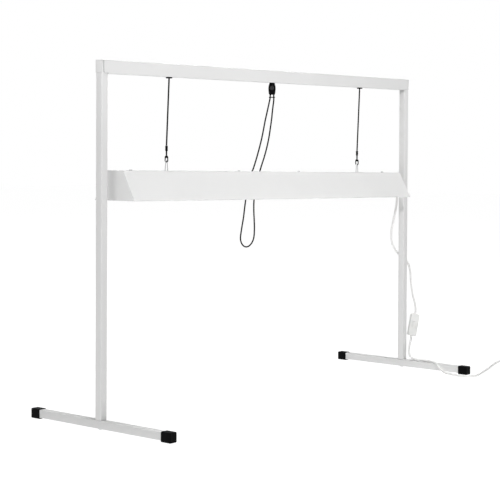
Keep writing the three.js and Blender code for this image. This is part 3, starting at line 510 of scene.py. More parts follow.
def roundEdges(work, edges, width, steps):
    bmesh.ops.bevel(
        work, geom=edges, offset=width * unit, offset_type="OFFSET", segments=steps, profile=0.5,
        affect="EDGES", clamp_overlap=True,
    )


# A detailed piece made from a CAD node's own shape, with its edges rounded
def refinedPiece(name, node, material, body, width, steps=2):
    mesh, work = weldedNode(node, name, refine["flatAngle"])
    roundEdges(work, foldedEdges(work, refine["foldAngle"]), width, steps)
    work.to_mesh(mesh)
    work.free()
    return finishPiece(name, mesh, material, body, (node,), refine["sharp"])


# Centripetal Catmull-Rom through listed points, resampled at an even spacing
def smoothRoute(points, spacing, between=24):
    given = [Vector(p) for p in points]
    ends = [2 * given[0] - given[1], *given, 2 * given[-1] - given[-2]]
    dense = []
    for i in range(1, len(ends) - 2):
        p0, p1, p2, p3 = ends[i - 1:i + 3]
        d0, d1, d2 = (max((b - a).length_squared ** 0.25, 1e-4) for a, b in ((p0, p1), (p1, p2), (p2, p3)))
        t1 = ((p1 - p0) / d0 - (p2 - p0) / (d0 + d1) + (p2 - p1) / d1) * d1
        t2 = ((p2 - p1) / d1 - (p3 - p1) / (d1 + d2) + (p3 - p2) / d2) * d1
        square, cube = -3 * p1 + 3 * p2 - 2 * t1 - t2, 2 * p1 - 2 * p2 + t1 + t2
        for k in range(between):
            t = k / between
            dense.append(p1 + t1 * t + square * t * t + cube * t * t * t)
    dense.append(given[-1])
    return evenRoute(dense, spacing)


def evenRoute(dense, spacing):
    lengths = [0.0]
    for a, b in zip(dense, dense[1:]):
        lengths.append(lengths[-1] + (b - a).length)
    count = max(2, round(lengths[-1] / spacing))
    route, j = [], 0
    for i in range(count + 1):
        wanted = lengths[-1] * i / count
        while j < len(dense) - 2 and lengths[j + 1] < wanted:
            j += 1
        step = lengths[j + 1] - lengths[j]
        share = (wanted - lengths[j]) / step if step > 0 else 0
        route.append(dense[j].lerp(dense[j + 1], min(max(share, 0), 1)))
    return route


def routeLength(route):
    return sum((b - a).length for a, b in zip(route, route[1:]))


# A tube along a route; radius may be a function of the distance along it
def sweptShell(route, radius, sides=16):
    shell = Shell()
    last = len(route) - 1
    tangents = [(route[min(i + 1, last)] - route[max(i - 1, 0)]).normalized() for i in range(last + 1)]
    offRoute = Vector((0.13, 0.97, 0.21))  # no route starts along this
    side = offRoute.cross(tangents[0]).normalized()
    loops, distances, along = [], [], 0.0
    for i, point in enumerate(route):
        side = (side - tangents[i] * side.dot(tangents[i])).normalized()
        other = tangents[i].cross(side)
        if i:
            along += (point - route[i - 1]).length
        distances.append(along)
        size = radius(along) if callable(radius) else radius
        loops.append(shell.loop([point + side * a + other * b for a, b in circleLoop(size, sides)]))
    shell.skin(loops)
    uvs = []
    for i in range(last):
        for k in range(sides):
            for d, turn in ((i, k), (i, k + 1), (i + 1, k + 1), (i + 1, k)):
                uvs.append((distances[d] * unit, turn / sides))
    uvs += [(0, 0)] * 2 * sides
    return shell, uvs


print("stage: cords")
liftCord = {"radius": 2.0, "sides": 16, "spacing": 2.0}
spareRoute = [
    (-2.8, 3.5, 821.5), (-2.6, 4, 817.4), (-1.9, 4.75, 813.2), (-2.2, 6, 806), (-4.5, 9, 788),
    (-7.4, 12.2, 768), (-10.2, 15, 750), (-14, 24, 701), (-20, 34, 655), (-25.5, 43, 620),
    (-27, 48, 607), (-21, 60, 575), (-12, 79, 544), (-9, 84.5, 530), (-13, 85, 507), (-17, 85, 484),
    (-23, 85, 460), (-28, 85, 439), (-30, 85, 424), (-26.5, 85, 413), (-17, 85, 403.5),
    (-5, 85, 400), (7, 85, 402), (20, 85, 411), (27.5, 85, 424), (30, 85, 449), (29, 85, 472),
    (27, 85, 502), (27.5, 84.5, 530), (26, 79, 544), (17, 60, 575), (7, 48, 607), (6, 43, 620),
    (12, 34, 655), (15, 24, 696), (17, 14.2, 757), (15.2, 11.5, 768), (10.2, 4.6, 788),
    (5.6, -1.8, 806), (4.25, -2.87, 813.2), (3.4, -3.4, 817.4), (2.8, -3.5, 821.5),
]


def cordPiece(name, route, settings, material, slot, replaces, body=None):
    shell, uvs = sweptShell(route, settings["radius"], settings["sides"])
    return shell.piece(name, material, body, slot, replaces, uvs=uvs)


spareLine = smoothRoute(spareRoute, liftCord["spacing"])
spareCord = cordPiece("spareCord", spareLine, liftCord, "braid", "lift_cord", ("spare_cord",))
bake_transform(spareCord)

mainsLead = {"radius": 3.2, "sides": 18, "spacing": 2.5, "stillBelow": 190.0, "risesAbove": 460.0}
dropRoute = [
    (605, -4, 524.4), (605.2, -3.6, 515), (605.6, -2, 500), (605.4, 4, 472), (605.2, 10, 446),
    (606, 16.4, 417), (611, 19.5, 395), (620, 19.8, 375), (632, 18.2, 359), (648, 16.4, 346),
    (663, 14, 337.6), (675, 10.4, 328.6), (682.6, 6, 317), (686.2, 2, 302), (688, 0, 286),
    (690.5, 0, 266), (695, 0, 240), (702, 0, 217), (709.8, 0, 200.5), (715.4, 0, 188),
    (718.6, 0, 176.6), (718.9, 0, 166.6), (716.2, 0, 157.4),
]
tailRoute = [
    (696.3, 0, 90), (694.4, -0.1, 83.8), (691.2, -1, 77.8), (686.6, -2.7, 72.4),
    (680.8, -5, 68), (674.2, -7.8, 64), (667, -11.2, 59.4), (660, -15.2, 53.8),
    (654.2, -19.2, 47.4), (649.6, -23.2, 41.2), (645.8, -29.4, 34.2), (643.6, -37.6, 29.2),
    (642.9, -48, 27), (643.4, -66, 26.7), (644.4, -85, 26.7), (643.8, -101, 26.7),
    (641.4, -112, 26.8), (637.8, -120, 26.8), (634.2, -127, 26.1), (631, -133.6, 23.8),
    (627.8, -140.4, 19.9), (624.2, -148.4, 14.6), (619.2, -159, 9), (612, -173.6, 4.9),
    (604.5, -190, 3.45), (598, -208, 3.45), (593.6, -224, 3.45), (591.8, -239.6, 3.45),
    (594.6, -254.2, 3.45), (602.6, -266, 3.45), (615.4, -273, 3.45), (632.6, -273.8, 3.45),
    (650, -270, 3.45), (672, -263.2, 3.45), (703, -253.5, 3.45), (739, -242, 3.45),
    (779, -229, 3.45), (825, -212.6, 3.45), (872, -196.8, 3.45), (913, -186.4, 3.45),
    (961.6, -176.6, 3.45),
]
coil = {
    "middleRadius": 35.0, "spacing": 7.1, "layerHeight": 6.9, "turnsEachWay": 1.5, "stepsEachTurn": 60,
    "climbTurns": 0.5, "dip": 1.4, "leadOut": 28.0, "gap": 0.3,
}


def coilPoints():
    start, before = Vector(tailRoute[-1]), Vector(tailRoute[-2])
    heading = (start - before).normalized()
    right = Vector((heading.y, -heading.x, 0))
    outer = coil["middleRadius"] + coil["spacing"] * coil["turnsEachWay"] / 2
    first = start + heading * coil["gap"]
    entry = first + heading * 2 * mainsLead["radius"]
    centre = entry + right * outer
    startAngle = math.atan2(-right.y, -right.x)
    turns = 2 * coil["turnsEachWay"] + coil["climbTurns"]
    count = round(turns * coil["stepsEachTurn"])
    points = [first, entry]
    for i in range(1, count + 1):
        done = turns * i / count
        inward = min(done, coil["turnsEachWay"])
        outward = max(0, done - coil["turnsEachWay"] - coil["climbTurns"])
        climb = min(max((done - coil["turnsEachWay"]) / coil["climbTurns"], 0), 1)
        dip = coil["dip"] * math.sin(math.pi * climb)
        radius = outer - coil["spacing"] * (inward - outward) - dip
        angle = startAngle - 2 * math.pi * done
        lift = climb * climb * (3 - 2 * climb) * coil["layerHeight"]
        x, y = centre.x + radius * math.cos(angle), centre.y + radius * math.sin(angle)
        points.append(Vector((x, y, start.z + lift)))
    angle = startAngle - 2 * math.pi * turns
    heading = Vector((math.sin(angle), -math.cos(angle), 0))
    points.append(points[-1] + heading * 2 * mainsLead["radius"])
    finish = points[-1] + heading * (coil["gap"] + coil["leadOut"])
    points.append(finish)
    return points, centre, finish + heading * coil["gap"], heading


coilLine, coilCentre, plugStart, plugHeading = coilPoints()
dropLine = smoothRoute(dropRoute, mainsLead["spacing"])
tailLine = smoothRoute(tailRoute, mainsLead["spacing"])
tailLine = evenRoute([*tailLine, *coilLine], mainsLead["spacing"])
leadDrop = cordPiece("leadDrop", dropLine, mainsLead, "cable", "white_cable", ("lead_drop",))
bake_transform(leadDrop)
leadTail = cordPiece(
    "leadTail", tailLine, mainsLead, "cable", "white_cable", ("lead_tail", "lead_coil", "lead_end"), "frame"
)
for label, line in (("spare", spareLine), ("drop", dropLine), ("tail", tailLine)):
    print("length in mm:", label, round(routeLength(line)))

sides = (("Left", -1), ("Right", 1))
bars = {
    "hangerX": 411, "run": 873.8, "guideBottom": 849.4, "legSpread": 2.5, "endSpread": 4.35,
    "lockBottom": 820.2, "bend": 9, "twistStart": 30.4, "twistEnd": 23.4, "spreadStart": 14.6, "end": 2.0,
    "spacing": 3.0, "gap": 0.3, "hoodTop": 610.0, "hoodMiddle": 8.0, "sleeveTop": 63.2,
}
lockTurn = math.radians(-51)
fixtureTilt = math.radians(1)
hangerTilt = math.tan(fixtureTilt)


# Points of the arc that rounds off a corner
def cornerArc(before, corner, after, radius, steps):
    back, on = (before - corner).normalized(), (after - corner).normalized()
    half = back.angle(on) / 2
    centre = corner + (back + on).normalized() * (radius / math.sin(half))
    start = corner + back * (radius / math.tan(half)) - centre
    end = corner + on * (radius / math.tan(half)) - centre
    sweep = start.angle(end)
    return [
        centre + start * (math.sin((1 - k / steps) * sweep) / math.sin(sweep))
        + end * (math.sin(k / steps * sweep) / math.sin(sweep))
        for k in range(steps + 1)
    ]


# One radius for each corner between the ends
def roundedCorners(corners, radii, steps):
    points = [Vector(p) for p in corners]
    route = [points[0]]
    for i, radius in enumerate(radii, 1):
        route += cornerArc(points[i - 1], points[i], points[i + 1], radius, steps)
    return [*route, points[-1]]


for side, sign in sides:
    low = side.lower()
    x = sign * bars["hangerX"]
    corners = [
        (x, 0, bars["guideBottom"]), (x, 0, bars["run"]), (sign * bars["legSpread"], 0, bars["run"]),
        (sign * bars["legSpread"], 0, bars["lockBottom"] + bars["twistStart"]),
    ]
    for spread, height in (("legSpread", "twistEnd"), ("legSpread", "spreadStart"), ("endSpread", "end")):
        across = sign * bars[spread]
        corners.append(
            (across * math.cos(lockTurn), across * math.sin(lockTurn), bars["lockBottom"] + bars[height])
        )
    bends = [bars["bend"]] * (len(corners) - 2)
    barLine = evenRoute(roundedCorners(corners, bends, 10), bars["spacing"])
    cordPiece(f"barCord{side}", barLine, liftCord, "braid", "lift_cord", (f"bar_cord_{low}",), "frame")
    sleeveEnd = bars["hoodTop"] - x * hangerTilt + bars["sleeveTop"]
    lower = Vector((x, bars["hoodMiddle"], sleeveEnd + bars["gap"]))
    upper = Vector((x, 0, bars["guideBottom"] - bars["gap"]))
    hangingLine = evenRoute([lower, upper], liftCord["spacing"])
    hanging = cordPiece(
        f"hangingCord{side}", hangingLine, liftCord, "braid", "lift_cord", (f"hanging_cord_{low}",)
    )
    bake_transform(hanging)

print("stage: legs")
tube = {"size": 20.0, "wall": 1.2, "corner": 1.8, "rim": 0.25, "rimShare": 0.3}
legs = {"x": 645.0, "footHalf": 234.3, "footMiddle": 13.0, "bottom": 23.2, "top": 883.6}


def tubePiece(name, axis, middle, start, end, node):
    shell = Shell()
    size, rim = tube["size"], tube["rim"]
    inner = size - 2 * tube["wall"]
    near, slight = rim * tube["rimShare"], 2 * rim * tube["rimShare"]
    rows = [
        (start, 2 * rim), (start + near, slight), (start + rim, 0), (end - rim, 0), (end - near, slight),
        (end, 2 * rim),
    ]
    sections = [(d, size - less, tube["corner"] - less / 2) for d, less in rows]
    sections += [(d, inner, tube["corner"] - tube["wall"]) for d in (end, start)]
    loops = [shell.loop(onAxis(axis, middle, d, roundedLoop(s, s, r, 6))) for d, s, r in sections]
    shell.chain(loops, closed=True)
    shell.piece(name, "tube", "frame", "painted_tube", (node,))


caps = {
    "width": 23.0, "height": 24.5, "length": 30.0, "corner": 2.6, "leastCorner": 1.2, "cornerShare": 0.4,
    "edge": 2.2, "edgeSteps": 6, "end": 3.0, "endInset": 1.2, "endDip": 0.35, "pocket": 20.4,
    "pocketCorner": 1.8, "reach": 237.5, "lip": 0.35,
}


def capPiece(name, x, sign, node):
    shell = Shell()
    far, mouth = sign * caps["reach"], sign * (caps["reach"] - caps["length"])
    middle = (x, 0, caps["height"] / 2)

    def outer(distance, inset):
        corner = max(caps["corner"] - inset * caps["cornerShare"], caps["leastCorner"])
        outline = roundedLoop(caps["width"] - 2 * inset, caps["height"] - 2 * inset, corner, 6)
        return shell.loop(onAxis("Y", middle, distance, outline))

    loops = [outer(mouth, caps["lip"]), outer(mouth + sign * caps["lip"], 0)]
    for i in range(caps["edgeSteps"] + 1):
        angle = math.pi / 2 * i / caps["edgeSteps"]
        edge = caps["edge"]
        loops.append(outer(far - sign * edge * (1 - math.sin(angle)), edge * (1 - math.cos(angle))))
    loops.append(outer(far - sign * caps["endDip"], caps["edge"] + caps["endInset"]))
    pocket = (x, 0, legs["footMiddle"])
    inside = roundedLoop(caps["pocket"], caps["pocket"], caps["pocketCorner"], 6)
    inner = [shell.loop(onAxis("Y", pocket, d, inside)) for d in (mouth, far - sign * caps["end"])]
    shell.chain(loops)
    shell.fill(loops[-1])
    shell.bridge(inner[0], loops[0])
    shell.bridge(inner[1], inner[0])
    shell.fill(inner[1])
    shell.piece(name, "black", "frame", "black_plastic", (node,), sharp=38)


footBolt = {
    "seat": 2.8, "head": 7.0, "height": 2.4, "shank": 3.0, "reach": 42, "socket": 4.6, "socketDepth": 1.5,
}
barBolt = {
    "seat": 11.8, "middle": 868.8, "head": 5.0, "height": 3.0, "shank": 2.4, "reach": 12, "socket": 3.6,
    "socketDepth": 1.8,
}
boltShares = {
    "tip": 0.8, "chamfer": 0.4, "underHead": 0.97, "headEdge": 0.12, "domeStart": 0.3, "crown": 0.56,
}
boltDomeSteps = 5


# Screw or bolt along an axis: a domed head with a hexagon socket, and a shank
def boltPiece(name, node, body, axis, seat, outward, size, matrix=None):
    head, height, shank, reach = (size[k] for k in ("head", "height", "shank", "reach"))
    share = boltShares
    rows = [
        (0.05, -reach), (shank * share["tip"], -reach), (shank, -(reach - shank * share["chamfer"])),
        (shank, 0), (head * share["underHead"], 0), (head, height * share["headEdge"]),
        (head, height * share["domeStart"]),
    ]
    for i in range(1, boltDomeSteps + 1):
        angle = math.pi / 2 * i / boltDomeSteps
        wide = share["crown"] + (1 - share["crown"]) * math.cos(angle)
        tall = share["domeStart"] + (1 - share["domeStart"]) * math.sin(angle)
        rows.append((head * wide, height * tall))
    shell = turnedShell([(r, outward * d) for r, d in rows], axis, seat, 40, matrix)
    piece = shell.piece(name, "steel", body, "zinc_steel", (node,))
    cutter = Shell(matrix)
    hexagon = circleLoop(size["socket"] / 2, 6)
    ends = (height + 1, height - size["socketDepth"])
    cutter.skin([cutter.loop(onAxis(axis, seat, outward * d, hexagon)) for d in ends])
    carve(piece, [cutter])


for side, sign in sides:
    low = side.lower()
    x = sign * legs["x"]
    foot = (x, 0, legs["footMiddle"])
    tubePiece(f"foot{side}", "Y", foot, -legs["footHalf"], legs["footHalf"], f"foot_{low}")
    tubePiece(f"upright{side}", "Z", (x, 0, 0), legs["bottom"], legs["top"], f"upright_{low}")
    for end, way in (("Front", -1), ("Rear", 1)):
        capPiece(f"footCap{side}{end}", x, way, f"foot_cap_{low}_{end.lower()}")
    boltPiece(f"footBolt{side}", f"foot_bolt_{low}", "frame", "Z", (x, 0, footBolt["seat"]), -1, footBolt)
    barSeat = (x, barBolt["seat"], barBolt["middle"])
    boltPiece(f"barBolt{side}", f"bar_bolt_{low}", "frame", "Y", barSeat, 1, barBolt)
    refinedPiece(f"legBlock{side}", f"leg_block_{low}", "steel", "frame", 0.4)
    refinedPiece(f"rivetNut{side}", f"rivet_nut_{low}", "steel", "frame", 0.15, 1)

print("stage: bar")
bar = {
    "halfDepth": 11.6, "topEdge": 884.9, "lowEdge": 852.8, "nearEdge": 0.02, "shortestFold": 50, "fold": 1.5,
    "foldSteps": 6, "rim": 0.22, "rimSteps": 2, "rimAngle": 45, "flatAngle": 1, "sharp": 40, "paintedShadeFrom": 9.8,
    "facesEnd": 0.6,
}


def onBarFold(edge):
    a, b = (v.co / unit for v in edge.verts)
    if len(edge.link_faces) != 2 or abs(a.x - b.x) < bar["shortestFold"]:
        return False
    return all(
        abs(abs(p.y) - bar["halfDepth"]) < bar["nearEdge"] and not bar["lowEdge"] <= p.z <= bar["topEdge"]
        for p in (a, b)
    )


def makeBar():
    mesh, work = weldedNode("top_bar", "topBar", bar["flatAngle"])
    roundEdges(work, [e for e in work.edges if onBarFold(e)], bar["fold"], bar["foldSteps"])
    roundEdges(work, foldedEdges(work, bar["rimAngle"]), bar["rim"], bar["rimSteps"])
    work.to_mesh(mesh)
    work.free()
    finishPiece("topBar", mesh, "sheet", "frame", ("top_bar",), bar["sharp"])
    # Painted shade: the sheet's end faces at the flanges are painted dark, standing for the shadow line at
    # the bar's ends
    mesh.materials.append(materials["paintedShadeEdge"])
    for polygon in mesh.polygons:
        if abs(polygon.normal.x) > bar["facesEnd"] and abs(polygon.center.y) > bar["paintedShadeFrom"] * unit:
            polygon.material_index = 1


makeBar()

print("stage: lock and guides")
lock = {
    "radius": 10.0, "height": 32.2, "depthShare": 0.9, "bottom": 820.2, "bore": 5.9,
    "boreFront": -14.0, "boreBack": 7.0, "buttonZ": 838.2, "slotHalf": 4.9, "slotDepth": 2.4,
    "slotTop": 860.0, "cavity": 5.0, "cavityLow": 843.4, "cavityHigh": 850.4,
    "overlap": 1.4, "below": 2.0, "flareTop": 833.0, "flareEnd": 7.44, "seamBack": 9.4, "seamFront": 12.0,
    "seamLow": 2.9, "seamHigh": 3.3, "seamStart": 1.0, "seamEnd": 31.0, "gateRise": 10.0, "gateDeeper": 2.2,
}
barrelShares = [
    (0.02, 0.0), (0.7, 0.0), (0.765, 0.012), (0.81, 0.035), (0.855, 0.075), (0.9, 0.14), (0.94, 0.23),
    (0.97, 0.36), (1.0, 0.48), (0.995, 0.57), (0.96, 0.68), (0.9, 0.78), (0.82, 0.87), (0.73, 0.95),
    (0.68, 0.985), (0.62, 1.0), (0.02, 1.0),
]
# Height, half width and half depth of the neck and of the clip that holds it in the bar
clipRows = [
    (852.2, 7.0, 4.8), (853.9, 7.0, 4.8), (854.0, 7.0, 4.8), (854.05, 7.0, 7.1), (854.4, 7.0, 7.6),
    (855.6, 6.8, 7.0), (856.0, 6.2, 6.0),
]
clipCorner = 1.2
# Radius and depth of the dish round the button, and of the button from its back to its hollow face
dishProfile = [(8.1, -11.0), (5.9, -7.4), (0.2, -7.3)]
buttonProfile = [
    (0.05, 4), (5.1, 4), (5.6, 3.5), (5.6, -9.9), (5.4, -10.7), (4.8, -11.3), (3.6, -11.5), (2.0, -11.35),
    (1.4, -10.6), (0.05, -10.4),
]
cordBand = {
    "middleY": 1.5, "length": 17.2, "width": 8.2, "corner": 3.9, "low": 811.9, "high": 814.3, "edge": 0.7,
    "edgeRise": 0.25, "edgeInset": 0.2, "hole": 2.7, "holeSpread": 4.9, "holeLow": 808.0, "holeHigh": 818.0,
}
guideProfile = [
    (2.6, 850.2), (3.0, 849.55), (3.8, 849.4), (7.2, 849.4), (7.8, 849.6), (8.0, 850.1), (8.0, 852.0),
    (7.9, 852.35), (4.8, 852.4), (4.8, 854.0), (7.9, 854.05), (8.0, 854.3), (8.0, 856.3), (7.6, 856.9),
    (7.0, 857.0), (3.4, 857.0), (2.6, 856.4),
]


def makeLock():
    turn = Matrix.Rotation(lockTurn, 4, "Z")
    half, deep, z = lock["slotHalf"], lock["slotDepth"], lock["buttonZ"]
    below, slotTop = lock["bottom"] - lock["below"], lock["cavityLow"] + lock["overlap"]
    profile = [(r * lock["radius"], h * lock["height"]) for r, h in barrelShares]
    barrel = turnedShell(profile, "Z", (0, 0, lock["bottom"]), 56, turn, shape=(1, lock["depthShare"]))
    body = barrel.piece("lockBody", "black", "frame", "black_plastic", ("lock_body",))

    boreRows = [(lock["bore"], lock[k]) for k in ("boreFront", "boreBack")]
    bore, dish = (turnedShell(rows, "Y", (0, 0, z), 48, turn) for rows in (boreRows, dishProfile))
    upper = boxShell((-half, -deep, lock["cavityHigh"] - lock["overlap"]), (half, deep, lock["slotTop"]))
    lower = boxShell((-half, -deep, below), (half, deep, slotTop), turn)
    cavityRows = [(lock["cavity"], lock[k]) for k in ("cavityLow", "cavityHigh")]
    cavity = turnedShell(cavityRows, "Z", (0, 0, 0))
    # The cords' slot widens towards the foot of the lock
    flare = Shell(turn)
    loops = [
        flare.loop([(-wide, -deep, h), (wide, -deep, h), (wide, deep, h), (-wide, deep, h)])
        for wide, h in ((lock["flareEnd"], below), (half, lock["flareTop"]))
    ]
    flare.skin(loops)
    seam = boxShell(
        (-lock["seamFront"], lock["seamLow"], lock["bottom"] + lock["seamStart"]),
        (-lock["seamBack"], lock["seamHigh"], lock["bottom"] + lock["seamEnd"]), turn,
    )
    carve(body, [bore, dish, upper, lower, cavity, flare, seam])

    rows = [(height, 2 * wide, 2 * thick, clipCorner) for height, wide, thick in clipRows]
    clip = loftShell("Z", (0, 0, 0), rows, 4).piece("lockClip", "black", "frame", "black_plastic")
    carve(clip, [upper])

    button = turnedShell(buttonProfile, "Y", (0, 0, z), 48, turn)
    press = button.piece("lockButton", "lockCentre", "lock_button", "black_plastic", ("lock_button",))
    gate = boxShell(
        (-half, -deep - lock["gateDeeper"], z - lock["gateRise"]), (half, deep, z + lock["gateRise"]), turn
    )
    carve(press, [gate])


makeLock()


def makeTie():
    turn = Matrix.Rotation(lockTurn, 4, "Z")
    low, high, edge, rise = (cordBand[k] for k in ("low", "high", "edge", "edgeRise"))
    edges = ((low, edge), (low + rise, cordBand["edgeInset"]), (low + edge, 0))
    edges += ((high - edge, 0), (high - rise, cordBand["edgeInset"]), (high, edge))
    rows = [
        (z, cordBand["length"] - 2 * inset, cordBand["width"] - 2 * inset, cordBand["corner"] - inset)
        for z, inset in edges
    ]
    middle = (0, cordBand["middleY"], 0)
    shell = loftShell("Z", middle, rows, 8, turn)
    tie = shell.piece("cordTie", "black", "frame", "black_plastic", ("cord_tie",))
    hole = [(cordBand["hole"], cordBand[k]) for k in ("holeLow", "holeHigh")]
    spots = [(sign * cordBand["holeSpread"], cordBand["middleY"], 0) for _, sign in sides]
    carve(tie, [turnedShell(hole, "Z", spot, 32, turn) for spot in spots])


makeTie()

for side, sign in sides:
    guide = turnedShell(guideProfile, "Z", (sign * bars["hangerX"], 0, 0), 48, closed=True)
    guide.piece(f"cordGuide{side}", "black", "frame", "black_plastic", (f"cord_guide_{side.lower()}",))

print("stage: hood")
hood = {
    "length": 1188.0, "height": 73.4, "top": 56.0, "mouth": 136.0, "sheet": 0.8, "hem": 6.0, "hemBend": 0.7,
    "hemDraw": 0.3, "topDraw": 0.16, "bottom": 536.6, "setBack": 8.0, "fold": 2.2, "bendSteps": 6,
    "stations": 24, "endGap": 0.2,
}
fixture = Matrix.Translation((0, hood["setBack"], hood["bottom"])) @ Matrix.Rotation(fixtureTilt, 4, "Y")


# Middle line of the folded sheet in Y and Z, from one hem round to the other, with round bends
def hoodLine():
    half = hood["sheet"] / 2
    mouth, top = hood["mouth"] / 2, hood["top"] / 2
    slope = math.atan2(mouth - top, hood["height"])
    fold, lip = top - hood["topDraw"], mouth - half / math.cos(slope) - hood["hemDraw"]
    corners = [(mouth - hood["hem"], half), (lip, half), (fold, hood["height"] - half)]
    corners = [(-y, z) for y, z in corners] + corners[::-1]
    radii = [hood["hemBend"], hood["fold"], hood["fold"], hood["hemBend"]]
    return roundedCorners([(y, z, 0) for y, z in corners], radii, hood["bendSteps"])


def makeHood():
    line = hoodLine()
    half, last = hood["sheet"] / 2, len(line) - 1
    outer, inner = [], []
    for i, point in enumerate(line):
        along = (line[min(i + 1, last)] - line[max(i - 1, 0)]).normalized()
        across = Vector((-along.y, along.x, 0)) * half
        outer.append(point + across)
        inner.append(point - across)
    ring = [(p.x, p.y) for p in outer + inner[::-1]]
    reach = hood["length"] / 2 - hood["sheet"] - hood["endGap"]
    shell = Shell(fixture)
    stations = [-reach + 2 * reach * i / hood["stations"] for i in range(hood["stations"] + 1)]
    loops = [shell.loop([(x, y, z) for y, z in ring]) for x in stations]
    shell.chain(loops)
    for loop in (loops[0], loops[-1]):
        for i in range(last):
            shell.fill((loop[i], loop[i + 1], loop[-i - 2], loop[-i - 1]))
    shell.piece("hoodSheet", "sheet", "light", "painted_sheet", ("hood",), sharp=25)


makeHood()

panel = {
    "lowCorner": 1.2, "topCorner": 2.4, "lowDraw": 1.4, "topDraw": 0.7, "hole": 5.5, "holeY": -4,
    "holeZ": 553.4, "holeStart": 580, "holeEnd": 610,
}


def endPanel(side, sign):
    shell = Shell(fixture)
    mouth, top, height = hood["mouth"] / 2, hood["top"] / 2, hood["height"]

    def outline(inset):
        low, high = mouth - inset * panel["lowDraw"], top - inset * panel["topDraw"]
        spots = ((-low, inset), (low, inset), (high, height - inset), (-high, height - inset))
        corners = [Vector((*spot, 0)) for spot in spots]
        points = []
        for i, corner in enumerate(corners):
            radius = panel["lowCorner"] if i < 2 else panel["topCorner"]
            points += cornerArc(corners[i - 1], corner, corners[(i + 1) % 4], radius, hood["bendSteps"])
        return points

    outside, inside = sign * hood["length"] / 2, sign * (hood["length"] / 2 - hood["sheet"])
    rows = [
        (inside, 0.12), (inside + sign * 0.12, 0.0), (outside - sign * 0.25, 0.0),
        (outside - sign * 0.08, 0.09), (outside, 0.28),
    ]
    shell.skin([shell.loop([(x, p.x, p.y) for p in outline(inset)]) for x, inset in rows])
    piece = shell.piece(f"endPanel{side}", "sheet", "light", "painted_sheet", (f"end_panel_{side.lower()}",))
    if sign > 0:
        reach = [(panel["hole"], panel["holeStart"]), (panel["hole"], panel["holeEnd"])]
        carve(piece, [turnedShell(reach, "X", (0, panel["holeY"], panel["holeZ"]), 36)])


for side, sign in sides:
    endPanel(side, sign)

print("stage: ballast housing and lamp")
housing = {
    "width": 40.0, "height": 24.0, "top": 72.4, "half": 588.2, "sheet": 0.8, "corner": 1.5,
    "innerCorner": 0.8,
}


def makeHousing():
    shell = Shell(fixture)
    middle = (0, 0, housing["top"] - housing["height"] / 2)
    far = housing["half"]
    outer, inner = (0.0, housing["corner"]), (2 * housing["sheet"], housing["innerCorner"])
    loops = []
    for d, (less, radius) in ((-far, outer), (far, outer), (far, inner), (-far, inner)):
        outline = roundedLoop(housing["width"] - less, housing["height"] - less, radius, 4)
        loops.append(shell.loop(onAxis("X", middle, d, outline)))
    shell.chain(loops, closed=True)
    shell.piece("ballastHousing", "reflector", "light", "painted_sheet", ("ballast_housing",))


makeHousing()
refinedPiece("ballastBox", "ballast", "ballast", "light", 0.6, 3)
refinedPiece("terminalBlock", "terminal_block", "plastic", "light", 0.8, 3)

housingScrew = {
    "places": (-540, -130, 130, 540), "seat": 73.6, "head": 4.0, "height": 2.2, "shank": 1.9, "reach": 6,
    "socket": 2.9, "socketDepth": 1.3,
}
for number, x in enumerate(housingScrew["places"], 1):
    seat = (x, 0, housingScrew["seat"])
    node = f"housing_screw_{number}"
    boltPiece(f"housingScrew{number}", node, "light", "Z", seat, 1, housingScrew, fixture)

lamp = {
    "radius": 7.9, "end": 574.5, "cap": 12.0, "axis": 22.0, "pinSpacing": 5.0, "pin": 1.2, "pinRoot": 1.0,
    "pinLength": 7.0, "stations": (-400, -200, 0, 200, 400),
}
# Radius and distance in from the end of the glass
glassEndRows = [(0.1, 0.0), (6.794, 0.0), (7.505, 0.5), (7.9, 1.6)]
# Radius and distance out from the end of the glass
lampCapRows = [
    (0.1, 0.2), (7.95, 0.2), (8.3, 0.5), (8.3, 2.2), (7.9, 2.7), (7.9, 3.3), (8.3, 3.8), (8.3, 10.6),
    (8.05, 11.5), (7.3, 12.0), (0.1, 12.0),
]


def makeLamp():
    glassEnd = lamp["end"] - lamp["cap"]
    middle = (0, 0, lamp["axis"])
    profile = [(r, d - glassEnd) for r, d in glassEndRows]
    profile += [(lamp["radius"], x) for x in lamp["stations"]]
    profile += [(r, -x) for r, x in reversed(profile[:len(glassEndRows)])]
    glass = turnedShell(profile, "X", middle, 40, fixture)
    glass.piece("lampTube", "glass", "light", "lamp_glass", ("lamp_tube",))
    root, tip, wide = lamp["end"] - lamp["pinRoot"], lamp["end"] + lamp["pinLength"], lamp["pin"]
    pin = [(0.05, root), (wide, root), (wide, tip - 0.8), (0.8, tip - 0.2), (0.05, tip)]
    for side, sign in sides:
        low = side.lower()
        cap = turnedShell([(r, sign * (glassEnd + d)) for r, d in lampCapRows], "X", middle, 40, fixture)
        for way in (-1, 1):
            spot = (0, 0, lamp["axis"] + way * lamp["pinSpacing"] / 2)
            cap.add(turnedShell([(r, sign * d) for r, d in pin], "X", spot, 16, fixture))
        cap.piece(f"lampCap{side}", "aluminium", "light", "lamp_metal", (f"lamp_cap_{low}",))
        refinedPiece(f"lampHolder{side}", f"lamp_holder_{low}", "plastic", "light", 0.7, 3)


makeLamp()

print("stage: hangers")
hanger = {
    "spread": 4.8, "topRadius": 2.6, "height": 22.6, "below": 3.0, "shoulder": 0.6, "wire": 1.1, "sides": 14,
    "bendSteps": 16, "spacing": 0.7,
}
ring = {
    "bottom": 20.7, "top": 39.0, "half": 6.0, "thick": 0.9, "holeBottom": 23.8, "holeTop": 32.4,
    "holeHalf": 3.0, "cornerLess": 0.3, "cordGap": 0.2,
}
